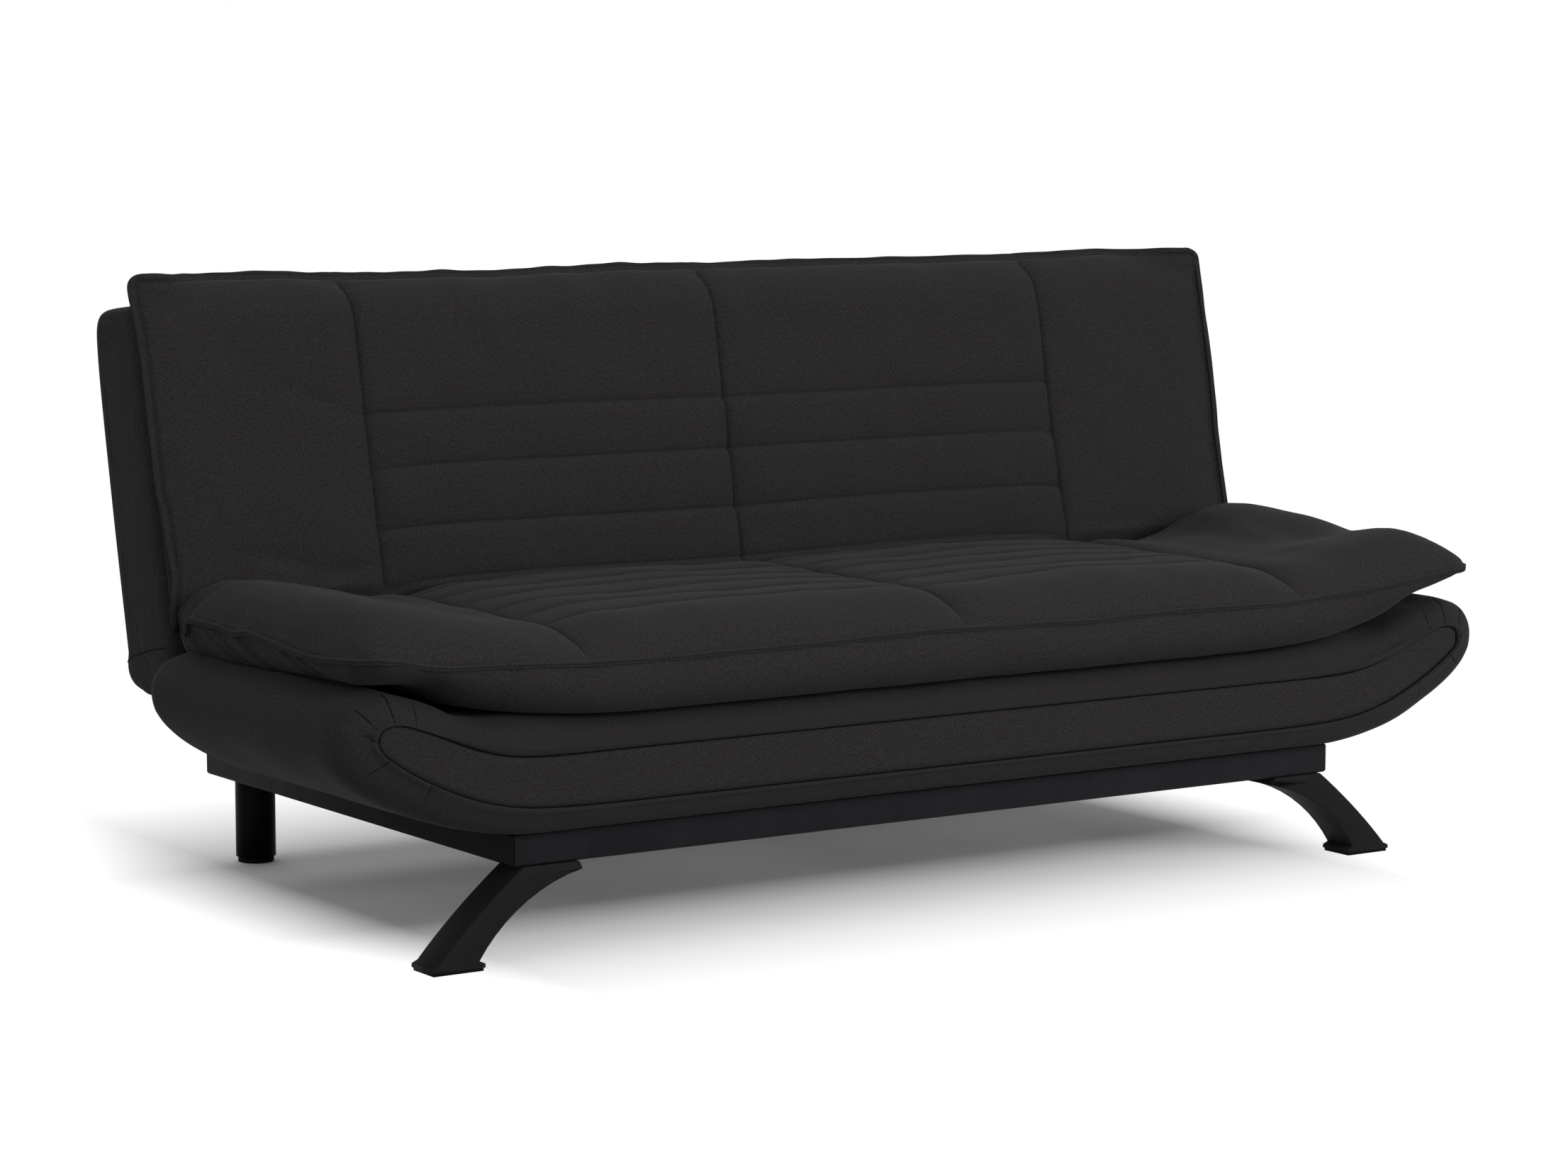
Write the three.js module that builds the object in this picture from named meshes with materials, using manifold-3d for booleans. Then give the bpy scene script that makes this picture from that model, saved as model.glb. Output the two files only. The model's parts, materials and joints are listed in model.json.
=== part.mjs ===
// Click clack sofa bed: steel base on cast legs, boat-shaped seat, one folding back.
// Millimetres. X runs along the sofa, Y from front to back, Z up from the floor.
// Y is counted from the front face of the front rail, and centred at the end.
import * as THREE from 'three';
import { mergeVertices } from 'three/addons/utils/BufferGeometryUtils.js';
import Module from 'manifold-3d';

const wasm = await Module();
wasm.setup();

// Clearance between pieces that rest on each other, and the overrun of a cut
const gap = 0.3;
const overrun = 20;

// Base frame of rectangular steel tube
const baseHalfWidth = 705;
const baseDepth = 921;
const railBottom = 133;
const railHeight = 44;
const railWidth = 40;
const railWall = 2.5;
const railCorner = 4;
const braceWidth = 30;
const braceOffset = 235;

// Front legs: arched castings with a flat foot
const legWidth = 59;
const legFrontOverhang = 2;
const legTopInner = 600;
const legTopOuter = 692;
const legEndHeight = 11;
const ankleInner = 759;
const ankleOuter = 821;
const ankleHeight = 14;
const footToe = 9;
const footPlate = 6;
const footGlide = 4;
const glideInset = 2;
const castEdge = 1;
const archInnerShares = [[0.44, 0.87], [0.8, 0.46]];
const archOuterShares = [[0.37, 0.69], [0.74, 0.32]];

// Rear legs: round bars on a screwed plate, set in from the outside of the frame
const rearLegSideInset = 61.5;
const rearLegInset = 38;
const rearLegRadius = 30;
const rearPlate = 76;
const rearPlateThickness = 3;
const rearGlideRadius = 27;
const rearGlideHeight = 8;
const rearStudRadius = 5;
const rearStudLength = 14;

// Seat body: a boat-shaped outline, the same at every depth
const deckRise = 150;
const deckHalf = 500;
const deckThickness = 22;
const armRoot = 690;
const armTip = 989;
const armRise = 213;
const seatFront = -40;
const seatBack = 510;
const fasciaThickness = 44;
const rearPanelThickness = 22;
const seatEdgeDepth = 18;
const seatEdgeInset = 13;
const hullShares = [[0.368, 0.027], [0.886, 0.271], [0.983, 0.577]];
const tipShares = [[1.023, 0.741], [0.987, 0.915], [0.853, 0.944]];
const crestShares = [[0.719, 1.01], [0.585, 1.02], [0.368, 0.835]];
const valleyShares = [[0.167, 0.756]];
const valleyRun = 120;

// Lozenge panel let into the seat front
const panelFlat = 600;
const panelLow = 29;
const panelLowSlope = 4;
const panelHigh = 87;
const panelHighSlope = 12;
const panelThickness = 9;
const panelSeam = 1.5;
const panelRound = 3;
const panelHullShares = [[0.301, 0.158], [0.585, 0.342], [0.809, 0.68]];
const panelTipShares = [[0.863, 0.765], [0.786, 0.84], [0.679, 0.807]];
const panelCrestShares = [[0.435, 0.741], [0.334, 0.497]];

// Timber seat frame and its springs
const board = 22;
const ribThickness = 18;
const ribInset = 14;
const ribShares = [0.1, 0.82];
const dustCloth = 1.2;
const seatSprings = 4;
const springWire = 2;
const springWidth = 50;
const springPitch = 46;
const springDrop = 7;

// Seat pad that lies over the deck and both arms
const padHalf = 960;
const padFront = -55;
const padRear = 538;
const padSeamRise = 265;
const weltRise = 220;
const padEdge = 8;
const padTopShares = [
  [0, 0], [0.31, 0.3], [0.638, 0], [0.73, 0.3],
  [0.83, 0.8], [0.9, 1], [0.96, 0.6], [1, -0.2],
];
const padTopRange = 48;
const padWeltShares = [[0, 0], [0.5, 0.08], [0.77, 0.5], [0.885, 0.85], [1, 1]];
const padWeltRange = 34;
const padUnderEnd = 930;
const padFrontRun = 119;
const padRollShares = [[0.17, 0.42], [0.42, 0.82], [1, 1]];
const padRearRun = 48;
const padCreaseRun = 20;
const padCreaseRise = 244;
const padTailRise = 215;
const padTailMin = 12;
const padToeRun = 24;
const padToeRise = 26;

// Back: everything in it is placed from the hinge, up the lean and square to it
const pivotY = 590;
const pivotRise = 184.7;
const leanAngle = 12.4;
const halfReclined = 30;
const shellInset = 35;
const shellFront = 3;
const shellRear = 130;
const shellTop = 506;
const shellBottom = 46;
const shellWall = 14;
const shellCorner = 26;
const shellSideDepth = 16;
const lipReach = 12;
const lipHeight = 36;
const slotBelow = 4;
const slotTop = 28;

// Timber back frame
const backTimberDepth = 55;
const backRailDepth = 22;
const backRailLow = 30;
const backRailHeight = 40;
const backSprings = 3;

// Back pad: four panels, crowned between a seam in the middle and one on each side
const backPadHalf = 955;
const backPadLow = 47;
const backPadTop = 532;
const backSeamX = 612.5;
const backSeam = 77;
const backCrown = 14;
const backTopWelt = 21;
const backPadThin = 14;
const backSideWelt = 90;
const backRollShares = [[0.995, 0.89], [0.93, 0.955], [0.7, 0.99]];
const backRearDrop = 30;
const backPanelShares = [0.25, 0.5, 0.75, 1];

// Click clack hinge: fixed plate, moving arm with a notched hub, pin and click spring
const plateThickness = 5;
const plateHub = 22;
const plateNeck = 20;
const plateNeckRise = 55;
const plateFootFront = 45;
const plateFootBack = 75;
const plateFootInset = 3;
const armHub = 24;
const armHubArc = [0.75 * Math.PI, 2.04 * Math.PI];
const armStrapFront = 8;
const armStrapBack = 38;
const armStrapStart = 60;
const armLength = 210;
const pinRadius = 6;
const pinHead = 11;
const pinHeadHeight = 5;
const pinTail = 0.5;
const boltRadius = 4;
const boltHead = 7;
const boltHeadHeight = 4;
const boltGrip = 9;
const boltSpread = 40;
const notchDepth = 4;
const notchHalf = 4;
const leafThickness = 1.6;
const leafWidth = 4;
const leafNose = 2.6;
const leafLength = 88;
const leafBow = 9;

// How finely round stretches are divided
const curveSteps = 9;
const tubeSteps = 2;
const edgeSteps = 2;
const holeSteps = 20;
const legSteps = 32;
const wireSides = 5;

// Finishes
function finish(color, roughness, metalness) {
  return new THREE.MeshStandardMaterial({ color, roughness, metalness });
}

const fabric = () => finish(0x2a292a, 0.95, 0);
const railPaint = () => finish(0x262628, 0.55, 0.4);
const legPaint = () => finish(0x1a1a1a, 0.5, 0.4);
const gloss = () => finish(0x0c0c0c, 0.35, 0.3);
const plastic = () => finish(0x101010, 0.6, 0);
const timber = () => finish(0xc6a577, 0.8, 0);
const plywood = () => finish(0xb8935f, 0.8, 0);
const zinc = () => finish(0x9a9c9e, 0.4, 0.9);
const springSteel = () => finish(0x55585a, 0.4, 0.9);
const cloth = () => finish(0x111111, 1, 0);

// Sizes that follow from the ones above; each rise is counted from the top of the rails
const railTop = railBottom + railHeight;
const deckTop = railTop + deckRise;
const armTop = railTop + armRise;
const panelBottom = railTop + panelLow;
const panelTop = railTop + panelHigh;
const padSeam = railTop + padSeamRise;
const weltHeight = railTop + weltRise;
const padCrease = railTop + padCreaseRise;
const padTail = railTop + padTailRise;
const pivotZ = railTop + pivotRise;
const plateNeckLow = railTop + plateNeckRise;
const seatBottom = railTop + gap;
const deckUnder = deckTop - deckThickness;
const innerHalf = armRoot - gap;
const innerFront = seatFront + fasciaThickness + gap;
const innerBack = seatBack - rearPanelThickness - gap;
const railInner = baseHalfWidth - railWidth;
const rearLegX = baseHalfWidth - rearLegSideInset;
const plateX = railInner - gap - plateThickness;
const armX = plateX - gap - plateThickness;
const stileX = armX - gap - board;
const shellHalf = backPadHalf - shellInset;
const backShellEnd = shellHalf - shellSideDepth / 2;
const lean = THREE.MathUtils.degToRad(leanAngle);
const notchTurns = [0, halfReclined, 90 - leanAngle].map(THREE.MathUtils.degToRad);

// Builds a mesh under a name that a person would use.
function part(group, name, geometry, material) {
  const mesh = new THREE.Mesh(geometry, material);
  mesh.name = name;
  group.add(mesh);
  return mesh;
}

// A block between two corners.
function block(x0, x1, y0, y1, z0, z1) {
  const box = new THREE.BoxGeometry(x1 - x0, y1 - y0, z1 - z0);
  return box.translate((x0 + x1) / 2, (y0 + y1) / 2, (z0 + z1) / 2);
}

// An outline given a length, with its edges rounded where asked.
function extruded(shape, length, roundDepth, roundInset, steps) {
  return new THREE.ExtrudeGeometry(shape, {
    depth: length - 2 * roundDepth,
    curveSegments: steps,
    bevelEnabled: roundDepth > 0,
    bevelThickness: roundDepth,
    bevelSize: roundInset,
    bevelOffset: -roundInset,
    bevelSegments: edgeSteps,
  });
}

// An outline drawn in X and Z, run from depth y0 to y1.
function alongY(shape, y0, y1, roundDepth = 0, roundInset = 0, steps = curveSteps) {
  const geometry = extruded(shape, y1 - y0, roundDepth, roundInset, steps);
  return geometry.rotateX(Math.PI / 2).translate(0, y1 - roundDepth, 0);
}

// An outline drawn in Y and Z, run from x0 to x1.
function alongX(shape, x0, x1, roundDepth = 0, roundInset = 0, steps = curveSteps) {
  const geometry = extruded(shape, x1 - x0, roundDepth, roundInset, steps);
  const toX = new THREE.Vector3(0, 1, 0);
  const toY = new THREE.Vector3(0, 0, 1);
  const toZ = new THREE.Vector3(1, 0, 0);
  const axes = new THREE.Matrix4().makeBasis(toX, toY, toZ);
  return geometry.applyMatrix4(axes).translate(x0 + roundDepth, 0, 0);
}

// The same piece on the other side of the sofa, with its faces still pointing out.
function mirrored(geometry) {
  const copy = geometry.clone().applyMatrix4(new THREE.Matrix4().makeScale(-1, 1, 1));
  if (copy.index === null) {
    copy.setIndex([...Array(copy.attributes.position.count).keys()]);
  }
  const order = copy.index.array;
  for (let i = 0; i < order.length; i += 3) {
    [order[i], order[i + 1]] = [order[i + 1], order[i]];
  }
  return copy;
}

// Adds a right-hand piece and its mirror image on the left.
function pair(group, name, geometry, material) {
  part(group, `${name}_right`, geometry, material());
  part(group, `${name}_left`, mirrored(geometry), material());
}

// Turns a closed geometry into a solid that can be cut, and back.
function solid(geometry) {
  const bare = geometry.clone();
  bare.deleteAttribute('normal');
  bare.deleteAttribute('uv');
  const merged = mergeVertices(bare, gap / 100);
  return new wasm.Manifold(new wasm.Mesh({
    numProp: 3,
    vertProperties: new Float32Array(merged.attributes.position.array),
    triVerts: new Uint32Array(merged.index.array),
  }));
}

function geometryOf(body) {
  const mesh = body.getMesh();
  const geometry = new THREE.BufferGeometry();
  geometry.setAttribute('position', new THREE.BufferAttribute(mesh.vertProperties, mesh.numProp));
  geometry.setIndex([...mesh.triVerts]);
  return geometry;
}

function cut(geometry, ...tools) {
  return geometryOf(tools.reduce((body, tool) => body.subtract(solid(tool)), solid(geometry)));
}

function keepInside(geometry, region) {
  return geometryOf(solid(geometry).intersect(solid(region)));
}

// A round bar along X.
function barX(radius, x0, x1, y, z, sides = holeSteps) {
  const bar = new THREE.CylinderGeometry(radius, radius, x1 - x0, sides);
  return bar.rotateZ(Math.PI / 2).translate((x0 + x1) / 2, y, z);
}

// A rectangle with rounded corners, as a shape or as a hole.
function roundedRectangle(target, a0, a1, b0, b1, radius) {
  target.moveTo(a0 + radius, b0);
  target.lineTo(a1 - radius, b0);
  target.absarc(a1 - radius, b0 + radius, radius, -Math.PI / 2, 0);
  target.lineTo(a1, b1 - radius);
  target.absarc(a1 - radius, b1 - radius, radius, 0, Math.PI / 2);
  target.lineTo(a0 + radius, b1);
  target.absarc(a0 + radius, b1 - radius, radius, Math.PI / 2, Math.PI);
  target.lineTo(a0, b0 + radius);
  target.absarc(a0 + radius, b0 + radius, radius, Math.PI, Math.PI * 1.5);
  return target;
}

// A value read from a short list of [place, value] shares, on straight lines between them.
function along(shares, place) {
  const last = shares.length - 1;
  const next = Math.min(Math.max(shares.findIndex(([at]) => at >= place), 1), last);
  const [[x0, y0], [x1, y1]] = [shares[next - 1], shares[next]];
  const t = THREE.MathUtils.clamp((place - x0) / (x1 - x0), 0, 1);
  return y0 + (y1 - y0) * t;
}

// Triangles that close the end of a skin, over a ring of points.
function capOver(ring) {
  return THREE.ShapeUtils.triangulateShape(ring.map((p) => new THREE.Vector2(p.y, p.z)), []);
}

// A closed skin over rings of points, each with as many corners, counter-clockwise from +X.
function loft(rings) {
  const points = rings.flat();
  const count = rings[0].length;
  const faces = [];
  for (let r = 0; r + 1 < rings.length; r += 1) {
    for (let i = 0; i < count; i += 1) {
      const a = r * count + i;
      const b = r * count + (i + 1) % count;
      faces.push(a, b, a + count, b, b + count, a + count);
    }
  }
  for (const [a, b, c] of capOver(rings[0])) {
    faces.push(a, c, b);
  }
  const end = points.length - count;
  for (const [a, b, c] of capOver(rings.at(-1))) {
    faces.push(end + a, end + b, end + c);
  }
  const geometry = new THREE.BufferGeometry().setFromPoints(points);
  geometry.setIndex(faces);
  return geometry;
}

const sofa = new THREE.Group();
const base = new THREE.Group();
sofa.add(base);

// Steel tube of the base, hollow, with mitred corners
function tube(length, width) {
  const shape = roundedRectangle(new THREE.Shape(), -width / 2, width / 2, railBottom, railTop, railCorner);
  const bore = roundedRectangle(
    new THREE.Path(),
    railWall - width / 2,
    width / 2 - railWall,
    railBottom + railWall,
    railTop - railWall,
    railCorner / 2,
  );
  shape.holes.push(bore);
  return alongY(shape, -length / 2, length / 2, 0, 0, tubeSteps);
}

function mitredTube(length) {
  const outer = length / 2;
  const inner = outer - railWidth;
  const plan = new THREE.Shape();
  plan.moveTo(railWidth / 2 + overrun, gap - outer - overrun);
  plan.lineTo(railWidth / 2 + overrun, outer + overrun - gap);
  plan.lineTo(-railWidth / 2 - overrun, inner - overrun - gap);
  plan.lineTo(-railWidth / 2 - overrun, overrun + gap - inner);
  const wedge = new THREE.ExtrudeGeometry(plan, { depth: railHeight + 2 * overrun, bevelEnabled: false });
  return keepInside(tube(length, railWidth), wedge.translate(0, 0, railBottom - overrun));
}

function buildBase() {
  const sideTube = mitredTube(baseDepth).translate(baseHalfWidth - railWidth / 2, baseDepth / 2, 0);
  const boltHoles = [-boltSpread, boltSpread].map((shift) => barX(
    boltRadius + gap,
    railInner - overrun,
    railInner + railWidth / 2,
    pivotY + shift,
    railBottom + railHeight / 2,
  ));
  pair(base, 'side_rail', cut(sideTube, ...boltHoles), railPaint);
  const crossTube = mitredTube(2 * baseHalfWidth);
  const front = crossTube.clone().rotateZ(-Math.PI / 2).translate(0, railWidth / 2, 0);
  const rear = crossTube.clone().rotateZ(Math.PI / 2).translate(0, baseDepth - railWidth / 2, 0);
  part(base, 'front_rail', front, railPaint());
  part(base, 'rear_rail', rear, railPaint());
  const braceLength = baseDepth - 2 * railWidth - 2 * gap;
  const brace = tube(braceLength, braceWidth).translate(braceOffset, baseDepth / 2, 0);
  pair(base, 'base_brace', brace, railPaint);
}

// Front leg: an arch between the rail and a flat foot
function frontLegShape() {
  const rise = railBottom - gap;
  const foot = footGlide + footPlate;
  const inner = ([across, up]) => [
    legTopInner + across * (ankleInner - legTopInner),
    ankleHeight + up * (rise - legEndHeight - ankleHeight),
  ];
  const outer = ([across, up]) => [
    legTopOuter + across * (ankleOuter - legTopOuter),
    ankleHeight + up * (rise - ankleHeight),
  ];
  const shape = new THREE.Shape();
  shape.moveTo(legTopInner + legEndHeight / 2, rise);
  shape.lineTo(legTopInner + legEndHeight / 4, rise - legEndHeight / 3);
  shape.lineTo(legTopInner, rise - legEndHeight);
  shape.bezierCurveTo(...inner(archInnerShares[0]), ...inner(archInnerShares[1]), ankleInner, ankleHeight);
  shape.lineTo(ankleInner - footToe, foot);
  shape.lineTo(ankleInner - footToe, footGlide + gap);
  shape.lineTo(ankleOuter + footToe, footGlide + gap);
  shape.lineTo(ankleOuter + footToe, foot);
  shape.lineTo(ankleOuter, ankleHeight);
  shape.bezierCurveTo(...outer(archOuterShares[1]), ...outer(archOuterShares[0]), legTopOuter, rise);
  return shape;
}

function buildLegs() {
  const legBack = legWidth - legFrontOverhang;
  const leg = alongY(frontLegShape(), -legFrontOverhang, legBack, castEdge, castEdge);
  pair(base, 'front_leg', leg, legPaint);
  const glide = block(
    ankleInner - footToe + glideInset,
    ankleOuter + footToe - glideInset,
    glideInset - legFrontOverhang,
    legBack - glideInset,
    0,
    footGlide,
  );
  pair(base, 'front_glide', glide, plastic);

  const y = baseDepth - rearLegInset;
  const plateTop = railBottom - gap;
  const plateUnder = plateTop - rearPlateThickness;
  const half = rearPlate / 2;
  const studHole = rearStudRadius + gap;
  const stud = new THREE.CylinderGeometry(studHole, studHole, railHeight, holeSteps);
  stud.rotateX(Math.PI / 2).translate(rearLegX, y, plateTop);
  const plate = block(rearLegX - half, rearLegX + half, y - half, y + half, plateUnder, plateTop);
  pair(base, 'rear_leg_plate', cut(plate, stud), railPaint);
  const legTop = plateUnder - gap;
  const studTop = Math.min(legTop + rearStudLength, plateTop);
  const under = rearGlideHeight + gap;
  const profile = [
    [0, under],
    [rearLegRadius, under],
    [rearLegRadius, legTop],
    [rearStudRadius, legTop],
    [rearStudRadius, studTop],
    [0, studTop],
  ].map(([r, z]) => new THREE.Vector2(r, z));
  const rearLeg = new THREE.LatheGeometry(profile, legSteps).rotateX(Math.PI / 2);
  pair(base, 'rear_leg', rearLeg.translate(rearLegX, y, 0), gloss);
  const foot = new THREE.CylinderGeometry(rearGlideRadius, rearGlideRadius, rearGlideHeight, legSteps);
  foot.rotateX(Math.PI / 2).translate(rearLegX, y, rearGlideHeight / 2);
  pair(base, 'rear_glide', foot, plastic);
}

// Seat outline: a place in the arm is given as shares of its reach and of its rise
function armPlace([across, up]) {
  return [armRoot + across * (armTip - armRoot), seatBottom + up * (armTop - seatBottom)];
}

// Under the hull and round the tip of the arm
function hullLine() {
  const path = new THREE.Path();
  path.moveTo(0, seatBottom);
  path.lineTo(armRoot, seatBottom);
  path.bezierCurveTo(...hullShares.flatMap(armPlace));
  path.bezierCurveTo(...tipShares.flatMap(armPlace));
  return path.getPoints(curveSteps);
}

// From the tip of the arm over its crest and down to the deck
function crestLine() {
  const valley = valleyShares.flatMap(armPlace);
  const path = new THREE.Path();
  path.moveTo(...armPlace(tipShares.at(-1)));
  path.bezierCurveTo(...crestShares.flatMap(armPlace));
  path.bezierCurveTo(...valley, deckHalf + valleyRun, deckTop, deckHalf, deckTop);
  path.lineTo(0, deckTop);
  return path.getPoints(curveSteps);
}

// Mirrors half an outline that starts and ends on the middle line.
function wholeOutline(half) {
  const left = half.slice(1, -1).reverse().map((p) => new THREE.Vector2(-p.x, p.y));
  return [...half, ...left];
}

// The outline moved inwards by a distance.
function inset(outline, distance) {
  return outline.map((p, i) => {
    const before = outline.at(i - 1);
    const after = outline[(i + 1) % outline.length];
    const run = after.clone().sub(before).normalize();
    return new THREE.Vector2(p.x - run.y * distance, p.y + run.x * distance);
  });
}

const boat = wholeOutline([...hullLine(), ...crestLine().slice(1)]);
const topLine = crestLine().reverse();

// Height of the top of the seat body at a distance from the middle.
function seatTopAt(x) {
  const next = Math.max(topLine.findIndex((p) => p.x >= x), 1);
  const [a, b] = [topLine[next - 1], topLine[next]];
  return a.y + (b.y - a.y) * (x - a.x) / (b.x - a.x);
}

function panelOutline(shrink) {
  const path = new THREE.Path();
  path.moveTo(0, panelBottom);
  path.lineTo(panelFlat, panelBottom + panelLowSlope);
  path.bezierCurveTo(...panelHullShares.flatMap(armPlace));
  path.bezierCurveTo(...panelTipShares.flatMap(armPlace));
  path.bezierCurveTo(...panelCrestShares.flatMap(armPlace), panelFlat, panelTop + panelHighSlope);
  path.lineTo(0, panelTop);
  return new THREE.Shape(inset(wholeOutline(path.getPoints(curveSteps)), shrink));
}

// A zigzag spring of bent wire, flat in the plane of its length and width
function zigzag(length) {
  const bends = Math.floor(length / springPitch) * 2;
  const step = (length - 2 * springWire) / bends;
  const points = [];
  for (let i = 0; i <= bends; i += 1) {
    const side = (Math.floor((i + 1) / 2) % 2 === 0 ? 1 : -1) * springWidth / 2;
    points.push(new THREE.Vector3(side, springWire + i * step, 0));
  }
  const wire = new THREE.Shape();
  wire.absarc(0, 0, springWire, 0, 2 * Math.PI);
  return new THREE.ExtrudeGeometry(new THREE.Shape(wire.getPoints(wireSides).slice(0, wireSides)), {
    steps: bends * 2,
    extrudePath: new THREE.CatmullRomCurve3(points),
  });
}

// Upholstered faces at the front and the rear, their edges rounded on the outer side
function buildSeatFaces() {
  const outline = new THREE.Shape(boat);
  const panelBack = seatFront + panelThickness;
  const rounded = alongY(outline, seatFront, innerFront + seatEdgeDepth, seatEdgeDepth, seatEdgeInset);
  const fascia = keepInside(rounded, alongY(outline, seatFront, innerFront - gap));
  const recess = alongY(panelOutline(0), seatFront - overrun, panelBack);
  part(base, 'seat_fascia', cut(fascia, recess), fabric());
  const panelShape = panelOutline(panelSeam);
  const panelFace = seatFront + panelSeam;
  const panel = alongY(panelShape, panelFace, panelBack - gap, panelRound, panelRound);
  part(base, 'seat_front_panel', panel, fabric());
  const rear = alongY(outline, innerBack - seatEdgeDepth, seatBack, seatEdgeDepth, seatEdgeInset);
  const rearRegion = alongY(outline, innerBack + gap, seatBack);
  part(base, 'seat_rear_panel', keepInside(rear, rearRegion), fabric());
}

function buildSeatFrame() {
  // Timber box on the rails
  const outline = new THREE.Shape(boat);
  const boardHeight = deckUnder - gap;
  part(
    base,
    'seat_front_board',
    block(-innerHalf, innerHalf, innerFront, innerFront + board, seatBottom, boardHeight),
    timber(),
  );
  part(
    base,
    'seat_rear_board',
    block(-innerHalf, innerHalf, innerBack - board, innerBack, seatBottom, boardHeight),
    timber(),
  );
  const boxFront = innerFront + board + gap;
  const boxBack = innerBack - board - gap;
  const side = block(innerHalf - board, innerHalf, boxFront, boxBack, seatBottom, boardHeight);
  pair(base, 'seat_side_board', side, timber);

  // Arms: foam over two plywood ribs that start at the side board
  const beyond = armTip + overrun;
  const below = seatBottom - overrun;
  const above = armTop + overrun;
  const body = alongY(outline, innerFront, innerBack);
  const armSpace = block(armRoot, beyond, innerFront, innerBack, below, above);
  const ribOutline = new THREE.Shape(inset(boat, ribInset));
  const pocketOutline = new THREE.Shape(inset(boat, ribInset - gap));
  const depth = innerBack - innerFront;
  const pockets = [];
  const ribs = [];
  for (const share of ribShares) {
    const y0 = innerFront + share * depth;
    const y1 = y0 + ribThickness;
    const ribSpace = block(armRoot, armTip, y0, y1, seatBottom, armTop);
    ribs.push(keepInside(alongY(ribOutline, y0, y1), ribSpace));
    const pocketSpace = block(armRoot - overrun, armTip, y0 - gap, y1 + gap, seatBottom, armTop);
    pockets.push(keepInside(alongY(pocketOutline, y0 - gap, y1 + gap), pocketSpace));
  }
  pair(base, 'arm', cut(keepInside(body, armSpace), ...pockets), fabric);
  pair(base, 'arm_rib_front', ribs[0], plywood);
  pair(base, 'arm_rib_rear', ribs[1], plywood);

  // Deck over the springs, and the cloth that closes the underside
  const deckSpace = block(-innerHalf, innerHalf, innerFront, innerBack, deckUnder, armTop);
  part(base, 'seat_deck', keepInside(body, deckSpace), fabric());
  const clothHalf = innerHalf - board - gap;
  const clothLow = railTop + gap;
  const sheet = block(-clothHalf, clothHalf, boxFront, boxBack, clothLow, clothLow + dustCloth);
  part(base, 'dust_cloth', sheet, cloth());
  const spring = zigzag(boxBack - boxFront);
  for (let i = 0; i < seatSprings; i += 1) {
    const x = ((i + 0.5) / seatSprings - 0.5) * 2 * clothHalf;
    const place = spring.clone().translate(x, boxFront, deckUnder - springDrop);
    part(base, `seat_spring_${i + 1}`, place, springSteel());
  }
}

// Seat pad: one closed section at each station along the sofa
function seatPadRing(x) {
  const at = Math.abs(x);
  const place = at / padHalf;
  const welt = weltHeight + along(padWeltShares, place) * padWeltRange;
  const top = Math.max(padSeam + along(padTopShares, place) * padTopRange, welt + padEdge / 2);
  const end = THREE.MathUtils.clamp((at - padUnderEnd) / (padHalf - padUnderEnd), 0, 1);
  const under = seatTopAt(Math.min(at, padUnderEnd)) + gap;
  const low = under + (welt - padEdge / 2 - under) * end;
  const toeHeight = Math.min(low + padToeRise, welt - padEdge / 2);
  const crease = Math.min(padCrease, top);
  const tail = Math.min(Math.max(padTail, low + padTailMin), crease);
  const section = [
    [padFront, welt],
    ...padRollShares.map(([run, rise]) => [padFront + run * padFrontRun, welt + rise * (top - welt)]),
    [padRear - padRearRun, top],
    [padRear - padCreaseRun, crease],
    [padRear, tail],
    [padRear, Math.min(low, tail - padEdge / 2)],
    [padFront + 2 * padToeRun, low],
    [padFront + padToeRun / 2, toeHeight],
  ];
  return section.reverse().map(([y, z]) => new THREE.Vector3(x, y, z));
}

function buildSeatPad() {
  const under = topLine.map((p) => p.x).filter((x) => x < padUnderEnd);
  const over = padTopShares.map(([share]) => share * padHalf);
  const places = [...new Set([...under, ...over, padUnderEnd])];
  const right = places.filter((x) => x > 0).sort((a, b) => a - b);
  const stations = [...right.map((x) => -x).reverse(), 0, ...right];
  part(base, 'seat_pad', loft(stations.map(seatPadRing)), fabric());
}

// Everything in the back hangs in one group, placed and leaned at the hinge
const back = new THREE.Group();
back.position.set(0, pivotY, pivotZ);
back.rotation.x = -lean;
sofa.add(back);

// Back cover: a tray of padded cloth with a soft lip along its lower rear edge
function buildBackCover() {
  const shape = new THREE.Shape();
  const lip = shellRear + lipReach;
  shape.moveTo(shellFront, -shellBottom);
  shape.lineTo(shellRear - lipHeight, -shellBottom);
  shape.quadraticCurveTo(lip - lipReach / 2, -shellBottom, lip, -shellBottom + lipHeight);
  shape.quadraticCurveTo(lip, -shellBottom + lipHeight + lipReach, shellRear, -shellBottom + 2 * lipHeight);
  shape.lineTo(shellRear, shellTop - shellCorner);
  shape.quadraticCurveTo(shellRear, shellTop, shellRear - shellCorner, shellTop);
  shape.lineTo(shellFront, shellTop);
  const shell = alongX(shape, -shellHalf, shellHalf, shellSideDepth, shellSideDepth / 2);
  const wholeFront = block(
    -shellHalf - overrun,
    shellHalf + overrun,
    shellFront,
    lip + overrun,
    -shellBottom - overrun,
    shellTop + overrun,
  );
  const hollow = block(
    -shellHalf + shellWall,
    shellHalf - shellWall,
    shellFront - overrun,
    shellRear - shellWall,
    -shellBottom + shellWall,
    shellTop - shellWall,
  );
  const slot = block(
    armX - slotBelow,
    railInner + slotBelow,
    shellFront - overrun,
    lip + overrun,
    -shellBottom - overrun,
    slotTop,
  );
  part(back, 'back_cover', cut(keepInside(shell, wholeFront), hollow, slot, mirrored(slot)), fabric());
}

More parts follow.
